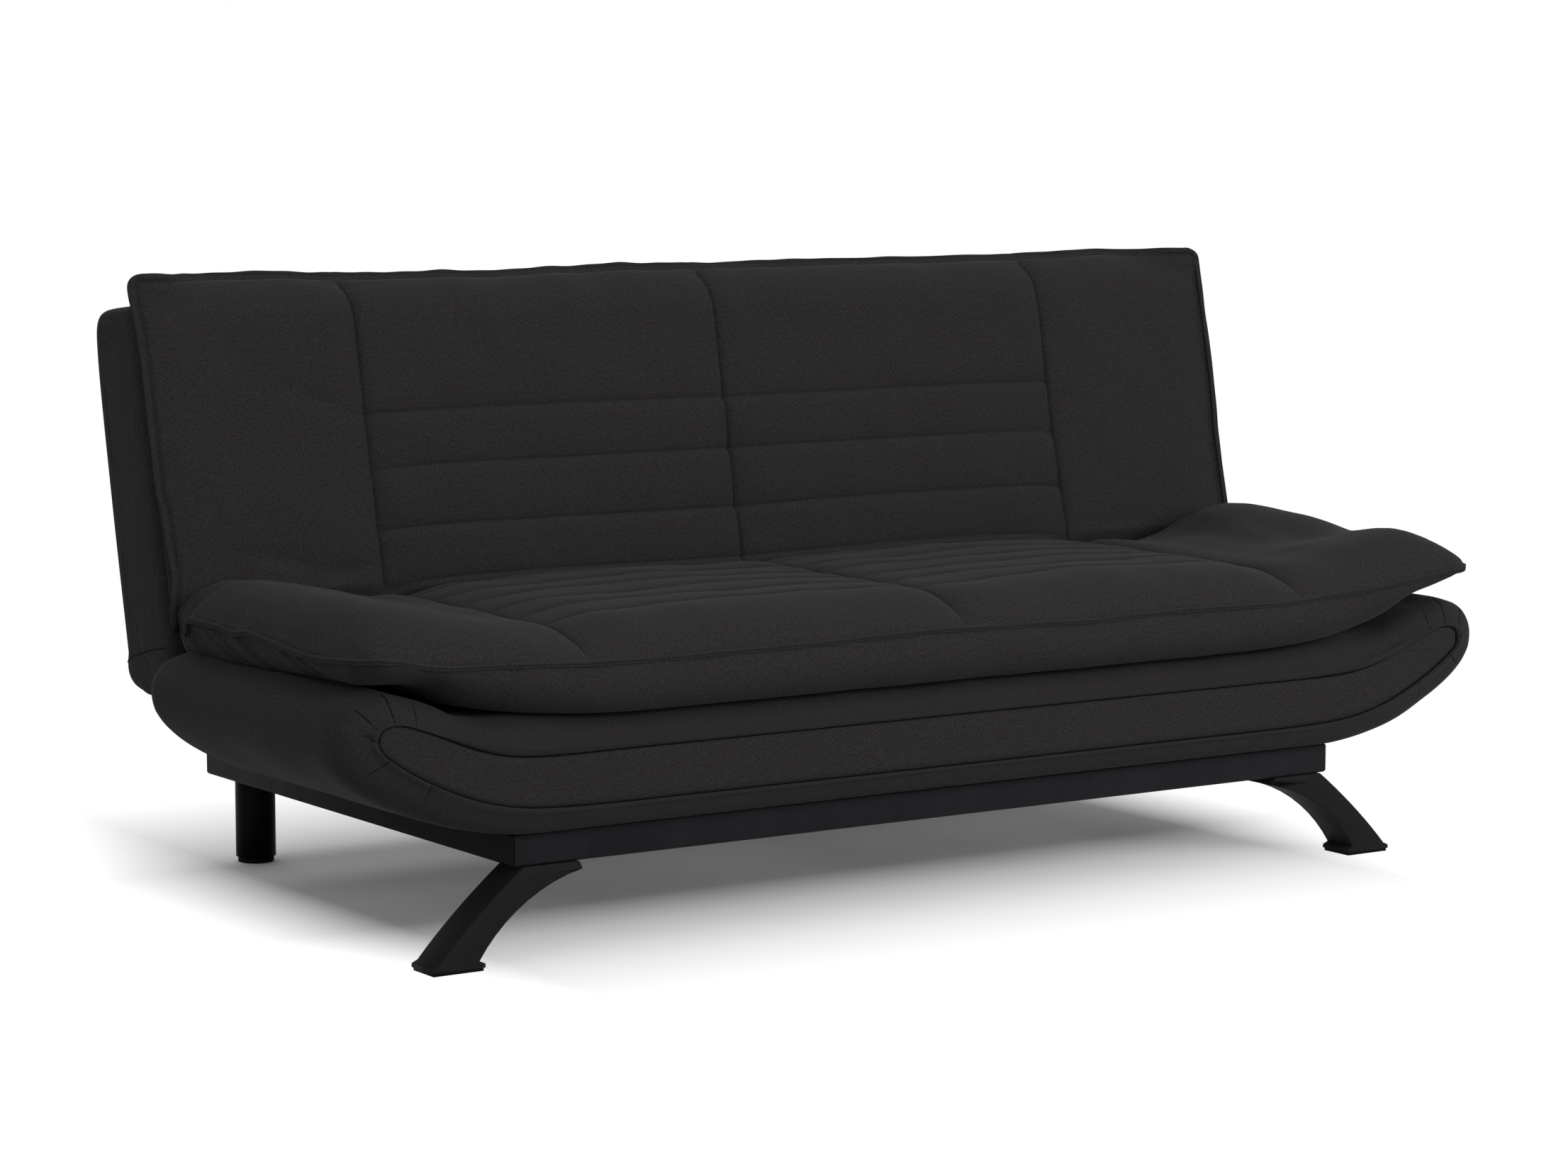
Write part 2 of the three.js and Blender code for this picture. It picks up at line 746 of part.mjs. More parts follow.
// Timber ladder inside the cover
function buildBackFrame() {
  const half = shellHalf - shellWall - gap;
  const high = shellTop - shellWall - gap;
  const low = shellWall + gap - shellBottom;
  const deep = shellFront + backTimberDepth;
  const stileTop = high - board - gap;
  const railBack = deep + backRailDepth / 2;
  part(back, 'back_top_rail', block(-half, half, shellFront, railBack, high - board, high), timber());
  const lowTop = backRailLow + backRailHeight;
  const lowHalf = half - board - gap;
  const lowFront = railBack - backRailDepth;
  part(back, 'back_low_rail', block(-lowHalf, lowHalf, lowFront, railBack, backRailLow, lowTop), timber());
  const outer = block(half - board, half, shellFront, railBack, low, stileTop);
  pair(back, 'back_outer_stile', outer, timber);
  const inner = block(stileX, stileX + board, shellFront, lowFront - gap, low, stileTop);
  pair(back, 'back_inner_stile', inner, timber);
  const spring = zigzag(high - board - lowTop - 2 * gap).rotateX(Math.PI / 2);
  for (let i = 0; i < backSprings; i += 1) {
    const x = ((i + 0.5) / backSprings - 0.5) * 2 * stileX;
    const place = spring.clone().translate(x, lowFront + springWire, lowTop + gap);
    part(back, `back_spring_${i + 1}`, place, springSteel());
  }
}

// Back pad: one closed section at each station along the sofa
function backPadRing(x) {
  const at = Math.abs(x);
  const panel = at < backSeamX ? at / backSeamX : (at - backSeamX) / (backPadHalf - backSeamX);
  const crown = backCrown * Math.sin(Math.PI * panel);
  const end = THREE.MathUtils.clamp((at - backShellEnd) / (backPadHalf - backShellEnd), 0, 1);
  const front = -backSeam - crown - (backSideWelt - backSeam) * end;
  const rear = shellFront - gap + (front + backPadThin - shellFront + gap) * end;
  const topWelt = -backTopWelt + (front + backPadThin / 2 + backTopWelt) * end;
  const section = [
    [-backSeam, backPadLow],
    [rear, backPadLow - backPadThin / 2 * (1 - end)],
    [rear, backPadTop - backRearDrop],
    [topWelt, backPadTop],
    ...backRollShares.map(([out, up]) => [topWelt + (front - topWelt) * out, backPadTop * up]).reverse(),
    [front, backPadTop * backRollShares[0][1] - backRearDrop],
    [front, backPadLow + 2 * backRearDrop],
  ];
  return section.map(([y, z]) => new THREE.Vector3(x, y, z));
}

function buildBackPad() {
  const inner = backPanelShares.map((share) => share * backSeamX);
  const outer = backPanelShares.map((share) => backSeamX + share * (backPadHalf - backSeamX));
  const edge = [backShellEnd, (backShellEnd + backPadHalf) / 2];
  const right = [...inner, ...outer, ...edge].sort((a, b) => a - b);
  const stations = [...right.map((x) => -x).reverse(), 0, ...right];
  part(back, 'back_pad', loft(stations.map(backPadRing)), fabric());
}

// Fixed hinge plate on the inner face of the side rail, seen from the side
function buildHinges() {
  const footLow = railBottom + plateFootInset;
  const footTop = railTop - plateFootInset;
  const plate = new THREE.Shape();
  plate.moveTo(pivotY - plateFootFront, footLow);
  plate.lineTo(pivotY + plateFootBack, footLow);
  plate.lineTo(pivotY + plateFootBack, footTop);
  plate.quadraticCurveTo(pivotY + plateNeck, footTop, pivotY + plateNeck, plateNeckLow);
  plate.lineTo(pivotY + plateNeck, pivotZ);
  plate.absarc(pivotY, pivotZ, plateHub, 0, Math.PI);
  plate.lineTo(pivotY - plateNeck, plateNeckLow);
  plate.quadraticCurveTo(pivotY - plateNeck, footTop, pivotY - plateFootFront, footTop);
  const holes = [-boltSpread, boltSpread].map((shift) => barX(
    boltRadius + gap,
    plateX - overrun,
    plateX + overrun,
    pivotY + shift,
    railBottom + railHeight / 2,
  ));
  const pinHole = barX(pinRadius + gap, plateX - overrun, plateX + overrun, pivotY, pivotZ);
  pair(base, 'hinge_plate', cut(alongX(plate, plateX, plateX + plateThickness), pinHole, ...holes), zinc);

  // Bolts through the plate into the rail, heads on the inner side
  for (const [name, shift] of [['hinge_bolt_front', -boltSpread], ['hinge_bolt_rear', boltSpread]]) {
    const under = plateX - gap;
    const profile = [
      [0, under - boltHeadHeight],
      [boltHead, under - boltHeadHeight],
      [boltHead, under],
      [boltRadius, under],
      [boltRadius, under + boltGrip],
      [0, under + boltGrip],
    ].map(([r, z]) => new THREE.Vector2(r, z));
    const bolt = new THREE.LatheGeometry(profile, holeSteps).rotateZ(-Math.PI / 2);
    bolt.translate(0, pivotY + shift, railBottom + railHeight / 2);
    pair(base, name, bolt, zinc);
  }

  // Pivot pin: head outside the plate, shank through plate and arm
  const headUnder = plateX + plateThickness + gap;
  const pinProfile = [
    [0, armX + pinTail],
    [pinRadius, armX + pinTail],
    [pinRadius, headUnder],
    [pinHead, headUnder],
    [pinHead, headUnder + pinHeadHeight],
    [0, headUnder + pinHeadHeight],
  ].map(([r, z]) => new THREE.Vector2(r, z));
  const pin = new THREE.LatheGeometry(pinProfile, holeSteps).rotateZ(-Math.PI / 2);
  pair(base, 'hinge_pin', pin.translate(0, pivotY, pivotZ), zinc);

  // Moving arm: a hub with one notch for each position of the back, and a strap on the stile
  const arm = new THREE.Shape();
  arm.moveTo(armStrapBack, armStrapStart);
  arm.lineTo(armStrapBack, armLength - armHub / 2);
  arm.quadraticCurveTo(armStrapBack, armLength, armStrapBack - armHub / 2, armLength);
  arm.lineTo(armStrapFront + armHub / 2, armLength);
  arm.quadraticCurveTo(armStrapFront, armLength, armStrapFront, armLength - armHub / 2);
  arm.lineTo(armStrapFront, armStrapStart);
  arm.quadraticCurveTo(armStrapFront, armStrapStart / 2, -armHub * Math.SQRT1_2, armHub * Math.SQRT1_2);
  arm.absarc(0, 0, armHub, ...armHubArc);
  arm.quadraticCurveTo(armStrapBack, armStrapStart / 3, armStrapBack, armStrapStart);
  const armHole = barX(pinRadius + gap, armX - overrun, armX + overrun, 0, 0);
  const notches = notchTurns.map((turn) => {
    const notch = new THREE.Shape();
    notch.moveTo(armHub - notchDepth, 0);
    notch.lineTo(armHub + notchDepth, -2 * notchHalf);
    notch.lineTo(armHub + notchDepth, 2 * notchHalf);
    const tool = alongX(notch, armX - overrun, armX + overrun);
    return tool.rotateX(turn - Math.PI / 2 + lean);
  });
  pair(back, 'hinge_arm', cut(alongX(arm, armX, armX + plateThickness), armHole, ...notches), zinc);

  // Click spring: a bowed leaf on the fixed plate, its nose in the notch under the hub
  const noseTip = pivotZ - armHub + notchDepth - 3 * gap;
  const noseBase = noseTip - leafNose - notchDepth;
  const leafLow = noseTip - leafLength;
  const leafMiddle = (noseBase + leafLow) / 2;
  const bow = pivotY - leafBow;
  const leaf = new THREE.Shape();
  leaf.moveTo(pivotY, noseTip);
  leaf.lineTo(pivotY - leafNose, noseBase);
  leaf.quadraticCurveTo(bow, leafMiddle, pivotY, leafLow);
  leaf.lineTo(pivotY + leafThickness, leafLow);
  leaf.quadraticCurveTo(bow + 2 * leafThickness, leafMiddle, pivotY + leafNose, noseBase);
  const leafX = plateX - gap - leafWidth;
  pair(base, 'click_spring', alongX(leaf, leafX, leafX + leafWidth), springSteel);
}

buildBase();
buildLegs();
buildSeatFaces();
buildSeatFrame();
buildSeatPad();
buildBackCover();
buildBackFrame();
buildBackPad();
buildHinges();

// Centre the whole sofa over the origin, front welt to rear rail.
sofa.position.y = -(padFront + baseDepth) / 2;

export default sofa;
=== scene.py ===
import json
import math

import bmesh
import bpy
import numpy as np
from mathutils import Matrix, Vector
from mathutils.bvhtree import BVHTree


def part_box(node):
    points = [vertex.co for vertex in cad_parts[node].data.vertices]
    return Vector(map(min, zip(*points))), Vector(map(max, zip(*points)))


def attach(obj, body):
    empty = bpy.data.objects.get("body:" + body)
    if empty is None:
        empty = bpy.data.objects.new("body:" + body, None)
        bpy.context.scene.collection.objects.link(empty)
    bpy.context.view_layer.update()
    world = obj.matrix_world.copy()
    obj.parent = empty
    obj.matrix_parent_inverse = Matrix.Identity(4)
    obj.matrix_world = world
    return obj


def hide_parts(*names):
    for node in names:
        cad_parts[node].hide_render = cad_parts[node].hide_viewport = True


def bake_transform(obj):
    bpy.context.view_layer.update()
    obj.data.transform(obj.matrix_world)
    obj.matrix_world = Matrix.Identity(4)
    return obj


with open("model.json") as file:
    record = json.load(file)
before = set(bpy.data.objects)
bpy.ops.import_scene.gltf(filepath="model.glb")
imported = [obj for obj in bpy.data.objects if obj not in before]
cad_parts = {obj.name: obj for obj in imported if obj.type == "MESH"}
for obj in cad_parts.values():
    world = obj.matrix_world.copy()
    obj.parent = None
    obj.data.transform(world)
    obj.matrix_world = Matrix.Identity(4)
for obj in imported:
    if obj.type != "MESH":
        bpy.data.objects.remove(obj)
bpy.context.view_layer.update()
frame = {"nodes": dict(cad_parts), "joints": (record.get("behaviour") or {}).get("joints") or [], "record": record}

# Places read from the frame, in metres. FRONT is the front face of the front rail.
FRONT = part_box("front_rail")[0].y
RAIL_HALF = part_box("side_rail_right")[1].x
ARM_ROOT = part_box("arm_right")[0].x
ARM_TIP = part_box("arm_right")[1].x - 0.0035
SEAT_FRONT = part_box("seat_fascia")[0].y
SEAT_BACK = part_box("seat_rear_panel")[1].y + 0.028
SEAT_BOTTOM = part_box("seat_fascia")[0].z
DECK_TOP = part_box("seat_rear_board")[1].z + 0.0223
PIVOT = frame["joints"][0]["pos_m"]
LEAN = math.radians(12.4)
SHELL_HALF = 0.920

# The camera stands front left of the sofa, a little above it.
CAMERA_PLACE = (-3.4697, -5.2283, 1.1729)
CAMERA_HEADING = math.radians(-33.665)
CAMERA_PITCH = math.radians(-6.881)
CAMERA_LENS = 97.31

# Panel seams of both pads: one in the middle and one on each side of it
SEAM_X = 0.6125
SEAM_PLACES = (-SEAM_X, 0.0, SEAM_X)


def srgb(r, g, b):
    """A colour written as 0 to 255, as the shaders want it."""
    shares = [v / 255 for v in (r, g, b)]
    return tuple(s / 12.92 if s <= 10 / 255 else ((s + 0.055) / 1.055) ** 2.4 for s in shares) + (1.0,)


# Smooth curves and grids

def through(points, at):
    """A smooth curve through a few (place, value) points, read at an array of places."""
    xs, ys = np.array(points, float).T
    step = np.diff(xs)
    slope = np.diff(ys) / step
    product, total = slope[:-1] * slope[1:], slope[:-1] + slope[1:]
    middle = np.where(product > 0, 2 * product / np.where(total == 0, 1, total), 0)
    tangent = np.concatenate([slope[:1], middle, slope[-1:]])
    at = np.clip(at, xs[0], xs[-1])
    i = np.clip(np.searchsorted(xs, at) - 1, 0, len(step) - 1)
    t = (at - xs[i]) / step[i]
    rise = t * t * (3 - 2 * t)
    ease = t * (1 - t) ** 2 * tangent[i] - t * t * (1 - t) * tangent[i + 1]
    return ys[i] * (1 - rise) + ys[i + 1] * rise + ease * step[i]


def smooth(t):
    """Rises evenly from 0 to 1 as t does."""
    t = np.clip(t, 0, 1)
    return t * t * (3 - 2 * t)


def bump(distance, reach):
    """1 on a line, falling to 0 beside it."""
    return np.exp(-(distance / reach) ** 2)


def ripple(a, b, wave, seed):
    """Soft unevenness from about -1 to 1 over two coordinates, the same at every run."""
    random = np.random.default_rng(seed)
    total = np.zeros(np.broadcast(a, b).shape)
    for _ in range(7):
        turn, phase = random.uniform(0, 2 * math.pi, 2)
        length = wave * random.uniform(0.7, 1.6)
        total += np.sin(2 * math.pi / length * (a * math.cos(turn) + b * math.sin(turn)) + phase)
    return total / 3.2


def lines(low, high, pitch, seams=(), fine=(0.0012, 0.003, 0.006, 0.011)):
    """Places from low to high, a pitch apart, closer together beside each seam."""
    places = list(np.linspace(low, high, max(2, round((high - low) / pitch) + 1)))
    for seam in seams:
        places = [p for p in places if abs(p - seam) > fine[-1] * 1.3]
        places += [seam] + [seam + side * step for step in fine for side in (-1, 1)]
    return np.array(sorted(p for p in places if low - 1e-9 <= p <= high + 1e-9))


def rounded_ends(half, turn, steps):
    """Places on the last stretch towards an end, closer together as the surface turns over."""
    return half - turn * (1 - np.sin(np.linspace(0, math.pi / 2, steps)))


def ring_faces(rings, count):
    """Faces between rings of count points each."""
    faces = []
    for first in range(0, (rings - 1) * count, count):
        for k in range(count):
            a, b = first + k, first + (k + 1) % count
            faces.append((a, b, b + count, a + count))
    return faces


def run_along(path):
    """How far along a path each of its points lies."""
    return np.concatenate([[0], np.cumsum(np.linalg.norm(np.diff(path, axis=0), axis=1))])


def both_sides(right):
    """Places from the left end to the right end, told by those from the middle to the right."""
    return np.concatenate([-right[:0:-1], right])


def new_object(name, data):
    obj = bpy.data.objects.new(name, data)
    bpy.context.scene.collection.objects.link(obj)
    return obj


def mesh_object(name, points, faces, cloth):
    """A smooth-shaded mesh. cloth holds each point's place on the flat cloth, for the weave."""
    mesh = bpy.data.meshes.new(name)
    mesh.from_pydata([tuple(p) for p in np.reshape(points, (-1, 3))], [], faces)
    flat = np.zeros((len(mesh.vertices), 3), np.float32)
    flat[:, :2] = np.reshape(cloth, (-1, 2))
    mesh.attributes.new("cloth", "FLOAT_VECTOR", "POINT").data.foreach_set("vector", flat.ravel())
    obj = new_object(name, mesh)
    tidy(obj)
    return obj


def tidy(obj):
    """Joins points that lie on each other, turns the faces outwards and shades them smoothly."""
    work = bmesh.new()
    work.from_mesh(obj.data)
    bmesh.ops.remove_doubles(work, verts=work.verts, dist=1e-5)
    bmesh.ops.recalc_face_normals(work, faces=work.faces)
    for face in work.faces:
        face.smooth = True
    work.to_mesh(obj.data)
    work.free()


def flat_lengths(points):
    """How far along the cloth each point of a grid lies, from its first column."""
    steps = np.linalg.norm(np.diff(points, axis=1), axis=2)
    return np.concatenate([np.zeros((len(points), 1)), np.cumsum(steps, axis=1)], axis=1)


def lofted(name, rings, run=None):
    """A closed form over rings of points, shape (stations, ring, 3), with a cap at each end."""
    stations, count = rings.shape[:2]
    faces = ring_faces(stations, count)
    faces += [tuple(range(count)), tuple(range((stations - 1) * count, stations * count))]
    around = flat_lengths(rings)
    across = rings[:, :, 0] if run is None else np.broadcast_to(run[:, None], around.shape)
    return mesh_object(name, rings, faces, np.stack([across, around], axis=2))


def tube(name, path, radius, sides=8, closed=False):
    """A round tube along a path."""
    path = np.array(path, float)
    count = len(path)
    if closed:
        ahead = np.roll(path, -1, 0) - np.roll(path, 1, 0)
    else:
        ahead = np.gradient(path, axis=0)
    ahead /= np.linalg.norm(ahead, axis=1)[:, None]
    out = np.cross(ahead, (0, 0, 1)) + np.cross(ahead, (0, 1, 0)) * 1e-3
    out -= (out * ahead).sum(1)[:, None] * ahead
    out /= np.linalg.norm(out, axis=1)[:, None]
    side = np.cross(ahead, out)
    rings = []
    for k in range(sides):
        turn = 2 * math.pi * k / sides
        rings.append(path + radius * (out * math.cos(turn) + side * math.sin(turn)))
    rings = np.stack(rings, axis=1)
    if closed:
        rings = np.concatenate([rings, rings[:1]])
        count += 1
    faces = ring_faces(count, sides)
    if not closed:
        faces += [tuple(range(sides)), tuple(range((count - 1) * sides, count * sides))]
    run = run_along(rings[:, 0])
    around = np.arange(sides) * 2 * math.pi * radius / sides
    cloth = np.stack(np.broadcast_arrays(run[:, None], around[None, :]), axis=2)
    return mesh_object(name, rings, faces, cloth)


# Materials

class Nodes:
    """Short ways to add and join nodes of one material or of the world."""

    def __init__(self, owner):
        owner.use_nodes = True
        self.owner = owner
        self.tree = owner.node_tree

    def give(self, node, values):
        for key, value in values.items():
            if isinstance(value, bpy.types.NodeSocket):
                self.tree.links.new(value, node.inputs[key])
            else:
                node.inputs[key].default_value = value
        return node

    def add(self, kind, values, **settings):
        node = self.tree.nodes.new("ShaderNode" + kind)
        for key, value in settings.items():
            setattr(node, key, value)
        return self.give(node, values)

    def place(self):
        return self.add("TexCoord", {}).outputs["Object"]

    def math(self, operation, a, b):
        return self.add("Math", {0: a, 1: b}, operation=operation).outputs[0]

    def vector(self, operation, a, b, output=0):
        return self.add("VectorMath", {0: a, 1: b}, operation=operation).outputs[output]

    def mix(self, share, a, b):
        return self.add("Mix", {0: share, 6: a, 7: b}, data_type="RGBA").outputs[2]

    def range(self, value, low, high, to_low, to_high):
        values = {"Value": value, "From Min": low, "From Max": high, "To Min": to_low, "To Max": to_high}
        return self.add("MapRange", values).outputs[0]

    def noise(self, place, scale, detail, rough=0.5):
        values = {"Vector": place, "Scale": scale, "Detail": detail, "Roughness": rough}
        return self.add("TexNoise", values).outputs["Fac"]

    def stretched(self, place, scale):
        return self.add("Mapping", {"Vector": place, "Scale": scale}).outputs[0]

    def set(self, **values):
        shader = self.tree.nodes["Principled BSDF"]
        self.give(shader, {key.replace("_", " "): value for key, value in values.items()})

    def bump(self, height, distance, strength):
        values = {"Height": height, "Distance": distance, "Strength": strength}
        self.set(Normal=self.add("Bump", values).outputs[0])

    def seen(self):
        """1 for what the camera sees, mirrored and through glass too, and 0 for the light that falls."""
        ray = self.add("LightPath", {}).outputs
        mirrored = self.math("MAXIMUM", ray["Is Glossy Ray"], ray["Is Transmission Ray"])
        return self.math("MAXIMUM", ray["Is Camera Ray"], mirrored)


def new_material(name):
    return Nodes(bpy.data.materials.new(name))


def woven(name, dark, middle, light, sheen=0.05, laid_flat=True):
    """Charcoal twill: fine slanting ribs, threads both ways and a melange of tinted streaks."""
    n = new_material(name)
    if laid_flat:
        place = n.add("Attribute", {}, attribute_name="cloth").outputs["Vector"]
    else:
        place = n.place()
    warp = n.noise(n.stretched(place, (1150.0, 260.0, 500.0)), 1.0, 0.0)
    weft = n.noise(n.stretched(place, (260.0, 1150.0, 500.0)), 1.0, 0.0)
    rib = n.add(
        "TexWave",
        {"Vector": place, "Scale": 200.0, "Distortion": 1.6, "Detail": 0.0, "Detail Scale": 0.6},
        bands_direction="DIAGONAL",
    ).outputs["Fac"]
    grain = n.math("ADD", n.math("MULTIPLY", warp, 0.5), n.math("MULTIPLY", weft, 0.5))
    tone = n.math("ADD", n.range(grain, 0.38, 0.62, 0.0, 0.70), n.math("MULTIPLY", rib, 0.30))
    body = n.mix(tone, srgb(*dark), srgb(*light))
    mottle = n.noise(place, 26.0, 1.0, 0.6)
    body = n.mix(n.range(mottle, 0.35, 0.7, 0.0, 0.18), body, srgb(*middle))
    cool = srgb(light[0] - 7, light[1] - 4, light[2] + 1)
    mossy = srgb(light[0] - 9, light[1] - 3, light[2] - 6)
    across = n.noise(n.stretched(place, (80.0, 260.0, 100.0)), 1.0, 0.0)
    along = n.noise(n.stretched(place, (270.0, 90.0, 100.0)), 1.0, 0.0)
    body = n.mix(n.range(across, 0.58, 0.72, 0.0, 0.42), body, cool)
    body = n.mix(n.range(along, 0.58, 0.72, 0.0, 0.38), body, mossy)
    n.set(Base_Color=body, Roughness=n.range(tone, 0.0, 1.0, 0.98, 0.88), Specular_IOR_Level=0.05)
    n.set(Sheen_Weight=sheen, Sheen_Roughness=0.42, Sheen_Tint=srgb(190, 200, 198))
    relief = n.math("ADD", n.math("MULTIPLY", grain, 0.8), n.math("MULTIPLY", rib, 0.4))
    n.bump(relief, 0.0004, 0.55)
    return n.owner


def coated(name, colour, rough, wear, grain=(60.0, 60.0, 60.0)):
    """Powder coat: a fine grained skin that is a little shinier and paler where edges rub."""
    n = new_material(name)
    place = n.place()
    skin = n.noise(place, 900.0, 3.0)
    streak = n.noise(n.stretched(place, grain), 1.0, 4.0, 0.6)
    edge = n.add("NewGeometry", {}).outputs["Pointiness"]
    rub = n.math("MULTIPLY", n.range(edge, 0.52, 0.6, 0.0, 0.5), n.range(streak, 0.45, 0.7, 0.2, 1.0))
    lighter = srgb(*(v * 1.12 + 1 for v in colour))
    base = n.mix(n.range(streak, 0.3, 0.7, 0.0, 1.0), srgb(*colour), lighter)
    n.set(Base_Color=n.mix(rub, base, srgb(*wear)), Specular_IOR_Level=0.03)
    n.set(Roughness=n.range(streak, 0.3, 0.7, rough - 0.06, rough + 0.06))
    n.bump(skin, 0.0002, 0.35)
    return n.owner


def bright_metal(name, colour, rough):
    """Bare plated steel with fine brushed variation."""
    n = new_material(name)
    place = n.place()
    cloud = n.noise(place, 55.0, 4.0, 0.65)
    brush = n.noise(n.stretched(place, (60.0, 60.0, 1400.0)), 1.0, 2.0)
    n.set(Base_Color=n.mix(cloud, srgb(*colour), srgb(*(v * 0.8 for v in colour))), Metallic=1.0)
    n.set(Roughness=n.range(brush, 0.3, 0.7, rough - 0.08, rough + 0.1))
    n.bump(brush, 0.0001, 0.3)
    return n.owner


def wood(name, light, dark, grain):
    """Sawn timber or plywood with long grain."""
    n = new_material(name)
    long = n.stretched(n.place(), grain)
    wave = {"Vector": long, "Scale": 2.0, "Distortion": 7.0, "Detail": 3.0}
    rings = n.add("TexWave", wave).outputs["Fac"]
    fibre = n.noise(long, 22.0, 5.0, 0.7)
    share = n.math("ADD", n.math("MULTIPLY", rings, 0.6), n.math("MULTIPLY", fibre, 0.4))
    n.set(Base_Color=n.mix(share, srgb(*light), srgb(*dark)), Roughness=n.range(fibre, 0.3, 0.7, 0.62, 0.85))
    n.bump(fibre, 0.0006, 0.4)
    return n.owner


fabric = woven("charcoal_twill", (26, 24, 25), (39, 37, 38), (52, 49, 51))
fabric_edge = woven("charcoal_welt", (25, 24, 25), (38, 36, 37), (50, 48, 50))
piping_cloth = woven("dark_piping", (6, 6, 6), (9, 9, 9), (14, 14, 14), 0.0)
thread = woven("sewing_thread", (13, 13, 13), (18, 18, 18), (26, 26, 26), 0.0)
# The side rails' paint is the rail paint made darker: painted shade for their place under the arms, not a paint of
# their own
side_rail_painted_shade = coated("side_rail_powder_coat_painted_shade", (22, 22, 23), 0.6, (30, 30, 31), grain=(26.0, 26.0, 3.0))

# Each slot's material
CAD_FINISH = {
    "dust_cloth": woven("dust_cloth_black", (10, 10, 10), (15, 15, 15), (22, 22, 22), 0.0, laid_flat=False),
    "rail_paint": coated("rail_powder_coat", (29, 29, 32), 0.6, (38, 38, 40), grain=(26.0, 26.0, 3.0)),
    "leg_paint": coated("leg_powder_coat", (27, 27, 28), 0.55, (36, 36, 37)),
    "gloss_black": coated("gloss_black_tube", (5, 5, 5), 0.35, (20, 20, 21), grain=(8.0, 8.0, 8.0)),
    "black_plastic": coated("black_plastic", (12, 12, 12), 0.55, (22, 22, 22)),
    "pine": wood("pine", (205, 170, 120), (160, 118, 70), (3.0, 22.0, 22.0)),
    "plywood": wood("plywood", (196, 158, 108), (150, 108, 64), (6.0, 3.0, 40.0)),
    "zinc_steel": bright_metal("zinc_plate", (168, 171, 176), 0.34),
    "spring_steel": bright_metal("spring_wire", (86, 88, 92), 0.36),
    "upholstery_fabric": fabric,
}
# Nodes given a darker copy of their slot's paint: painted shade, for the side rails that lie in shade under the
# arms
NODE_PAINTED_SHADE = {"side_rail_left": side_rail_painted_shade, "side_rail_right": side_rail_painted_shade}
# How wide the softened edges of each slot's pieces are
CAD_EDGE = {"rail_paint": 0.0012, "leg_paint": 0.0014, "pine": 0.0015, "zinc_steel": 0.0005}


def dress_cad_nodes():
    """Gives each CAD node the material of its slot, the side rails a darker copy with painted shade, softened
    edges and smooth shading.
    """
    for part in frame["record"]["subparts"]:
        obj = frame["nodes"][part["node"]]
        slot = part["material_slot"]
        finish = NODE_PAINTED_SHADE.get(part["node"], CAD_FINISH[slot])
        if not obj.data.materials:
            obj.data.materials.append(finish)
        obj.material_slots[0].link = "OBJECT"
        obj.material_slots[0].material = finish
        for face in obj.data.polygons:
            face.use_smooth = True
            face.material_index = 0
        weld = obj.modifiers.new("weld", "WELD")
        weld.merge_threshold = 1e-5
        edge = obj.modifiers.new("edge", "BEVEL")
        edge.width = CAD_EDGE.get(slot, 0.0006)
        edge.segments = 2
        edge.limit_method = "ANGLE"
        edge.angle_limit = math.radians(35)
        edge.harden_normals = True


def finish_piece(obj, material, levels=0):
    """Material, slot and, where asked, one or more subdivisions of a new piece."""
    obj.data.materials.append(material)
    if levels:
        fine = obj.modifiers.new("fine", "SUBSURF")
        fine.levels = fine.render_levels = levels


# Half the thickness of the cloth layers that meet in a pad's welt
EDGE_HALF = 0.0015


# Seat cushion: one quilted pad over the deck and both arms, with its welt at half height

# Depths are measured from FRONT. The tables hold heights along x, or along y for the side and the falls.
PAD_HALF = 0.957
PAD_FRONT = -0.050
PAD_REAR = 0.534
PAD_TURN = 0.055
CHANNELS = (0.086, 0.160, 0.234, 0.312, 0.384, 0.457)
WELT_FRONT = (
    (-0.957, 0.4292), (-0.930, 0.4300), (-0.898, 0.4277), (-0.867, 0.4210), (-0.835, 0.4166),
    (-0.800, 0.4139), (-0.740, 0.4110), (-0.676, 0.4080), (-0.613, 0.4045), (-0.550, 0.4036),
    (-0.420, 0.4044), (-0.200, 0.4062), (-0.010, 0.4080), (0.100, 0.4065), (0.150, 0.4037),
    (0.200, 0.4022), (0.300, 0.4045), (0.370, 0.4053), (0.560, 0.4034), (0.655, 0.4074),
    (0.750, 0.4127), (0.845, 0.4235), (0.900, 0.4290), (0.957, 0.4340),
)
WELT_SIDE = (
    (-0.050, 0.0), (0.0044, -0.0014), (0.0486, -0.0047), (0.0857, -0.0048), (0.1995, 0.0027),
    (0.2696, 0.0075), (0.3095, 0.0020), (0.3575, 0.0066), (0.4311, 0.0070), (0.4521, 0.0004),
    (0.4653, -0.0194), (0.480, -0.0130), (0.500, -0.0040), (0.534, 0.0),
)
CREST = (
    (0, 0.457), (0.3, 0.461), (0.52, 0.4575), (0.6125, 0.4480), (0.66, 0.4500), (0.70, 0.4550),
    (0.74, 0.4625), (0.78, 0.4715), (0.82, 0.4815), (0.85, 0.4875), (0.88, 0.4910), (0.92, 0.4885),
    (0.957, 0.480),
)
CREASE_FALL = ((0.45, 0.0), (0.487, 0.006), (0.512, 0.022), (0.534, 0.050))
WING_FALL = (
    (0.15, 0.0), (0.30, 0.003), (0.38, 0.0060), (0.43, 0.0085), (0.455, 0.0125), (0.50, 0.0205),
    (0.534, 0.034),
)
DECK_LINE = ((0, 0.3275), (0.5, 0.3275), (0.668, 0.335), (0.786, 0.352), (0.86, 0.385), (0.957, 0.390))
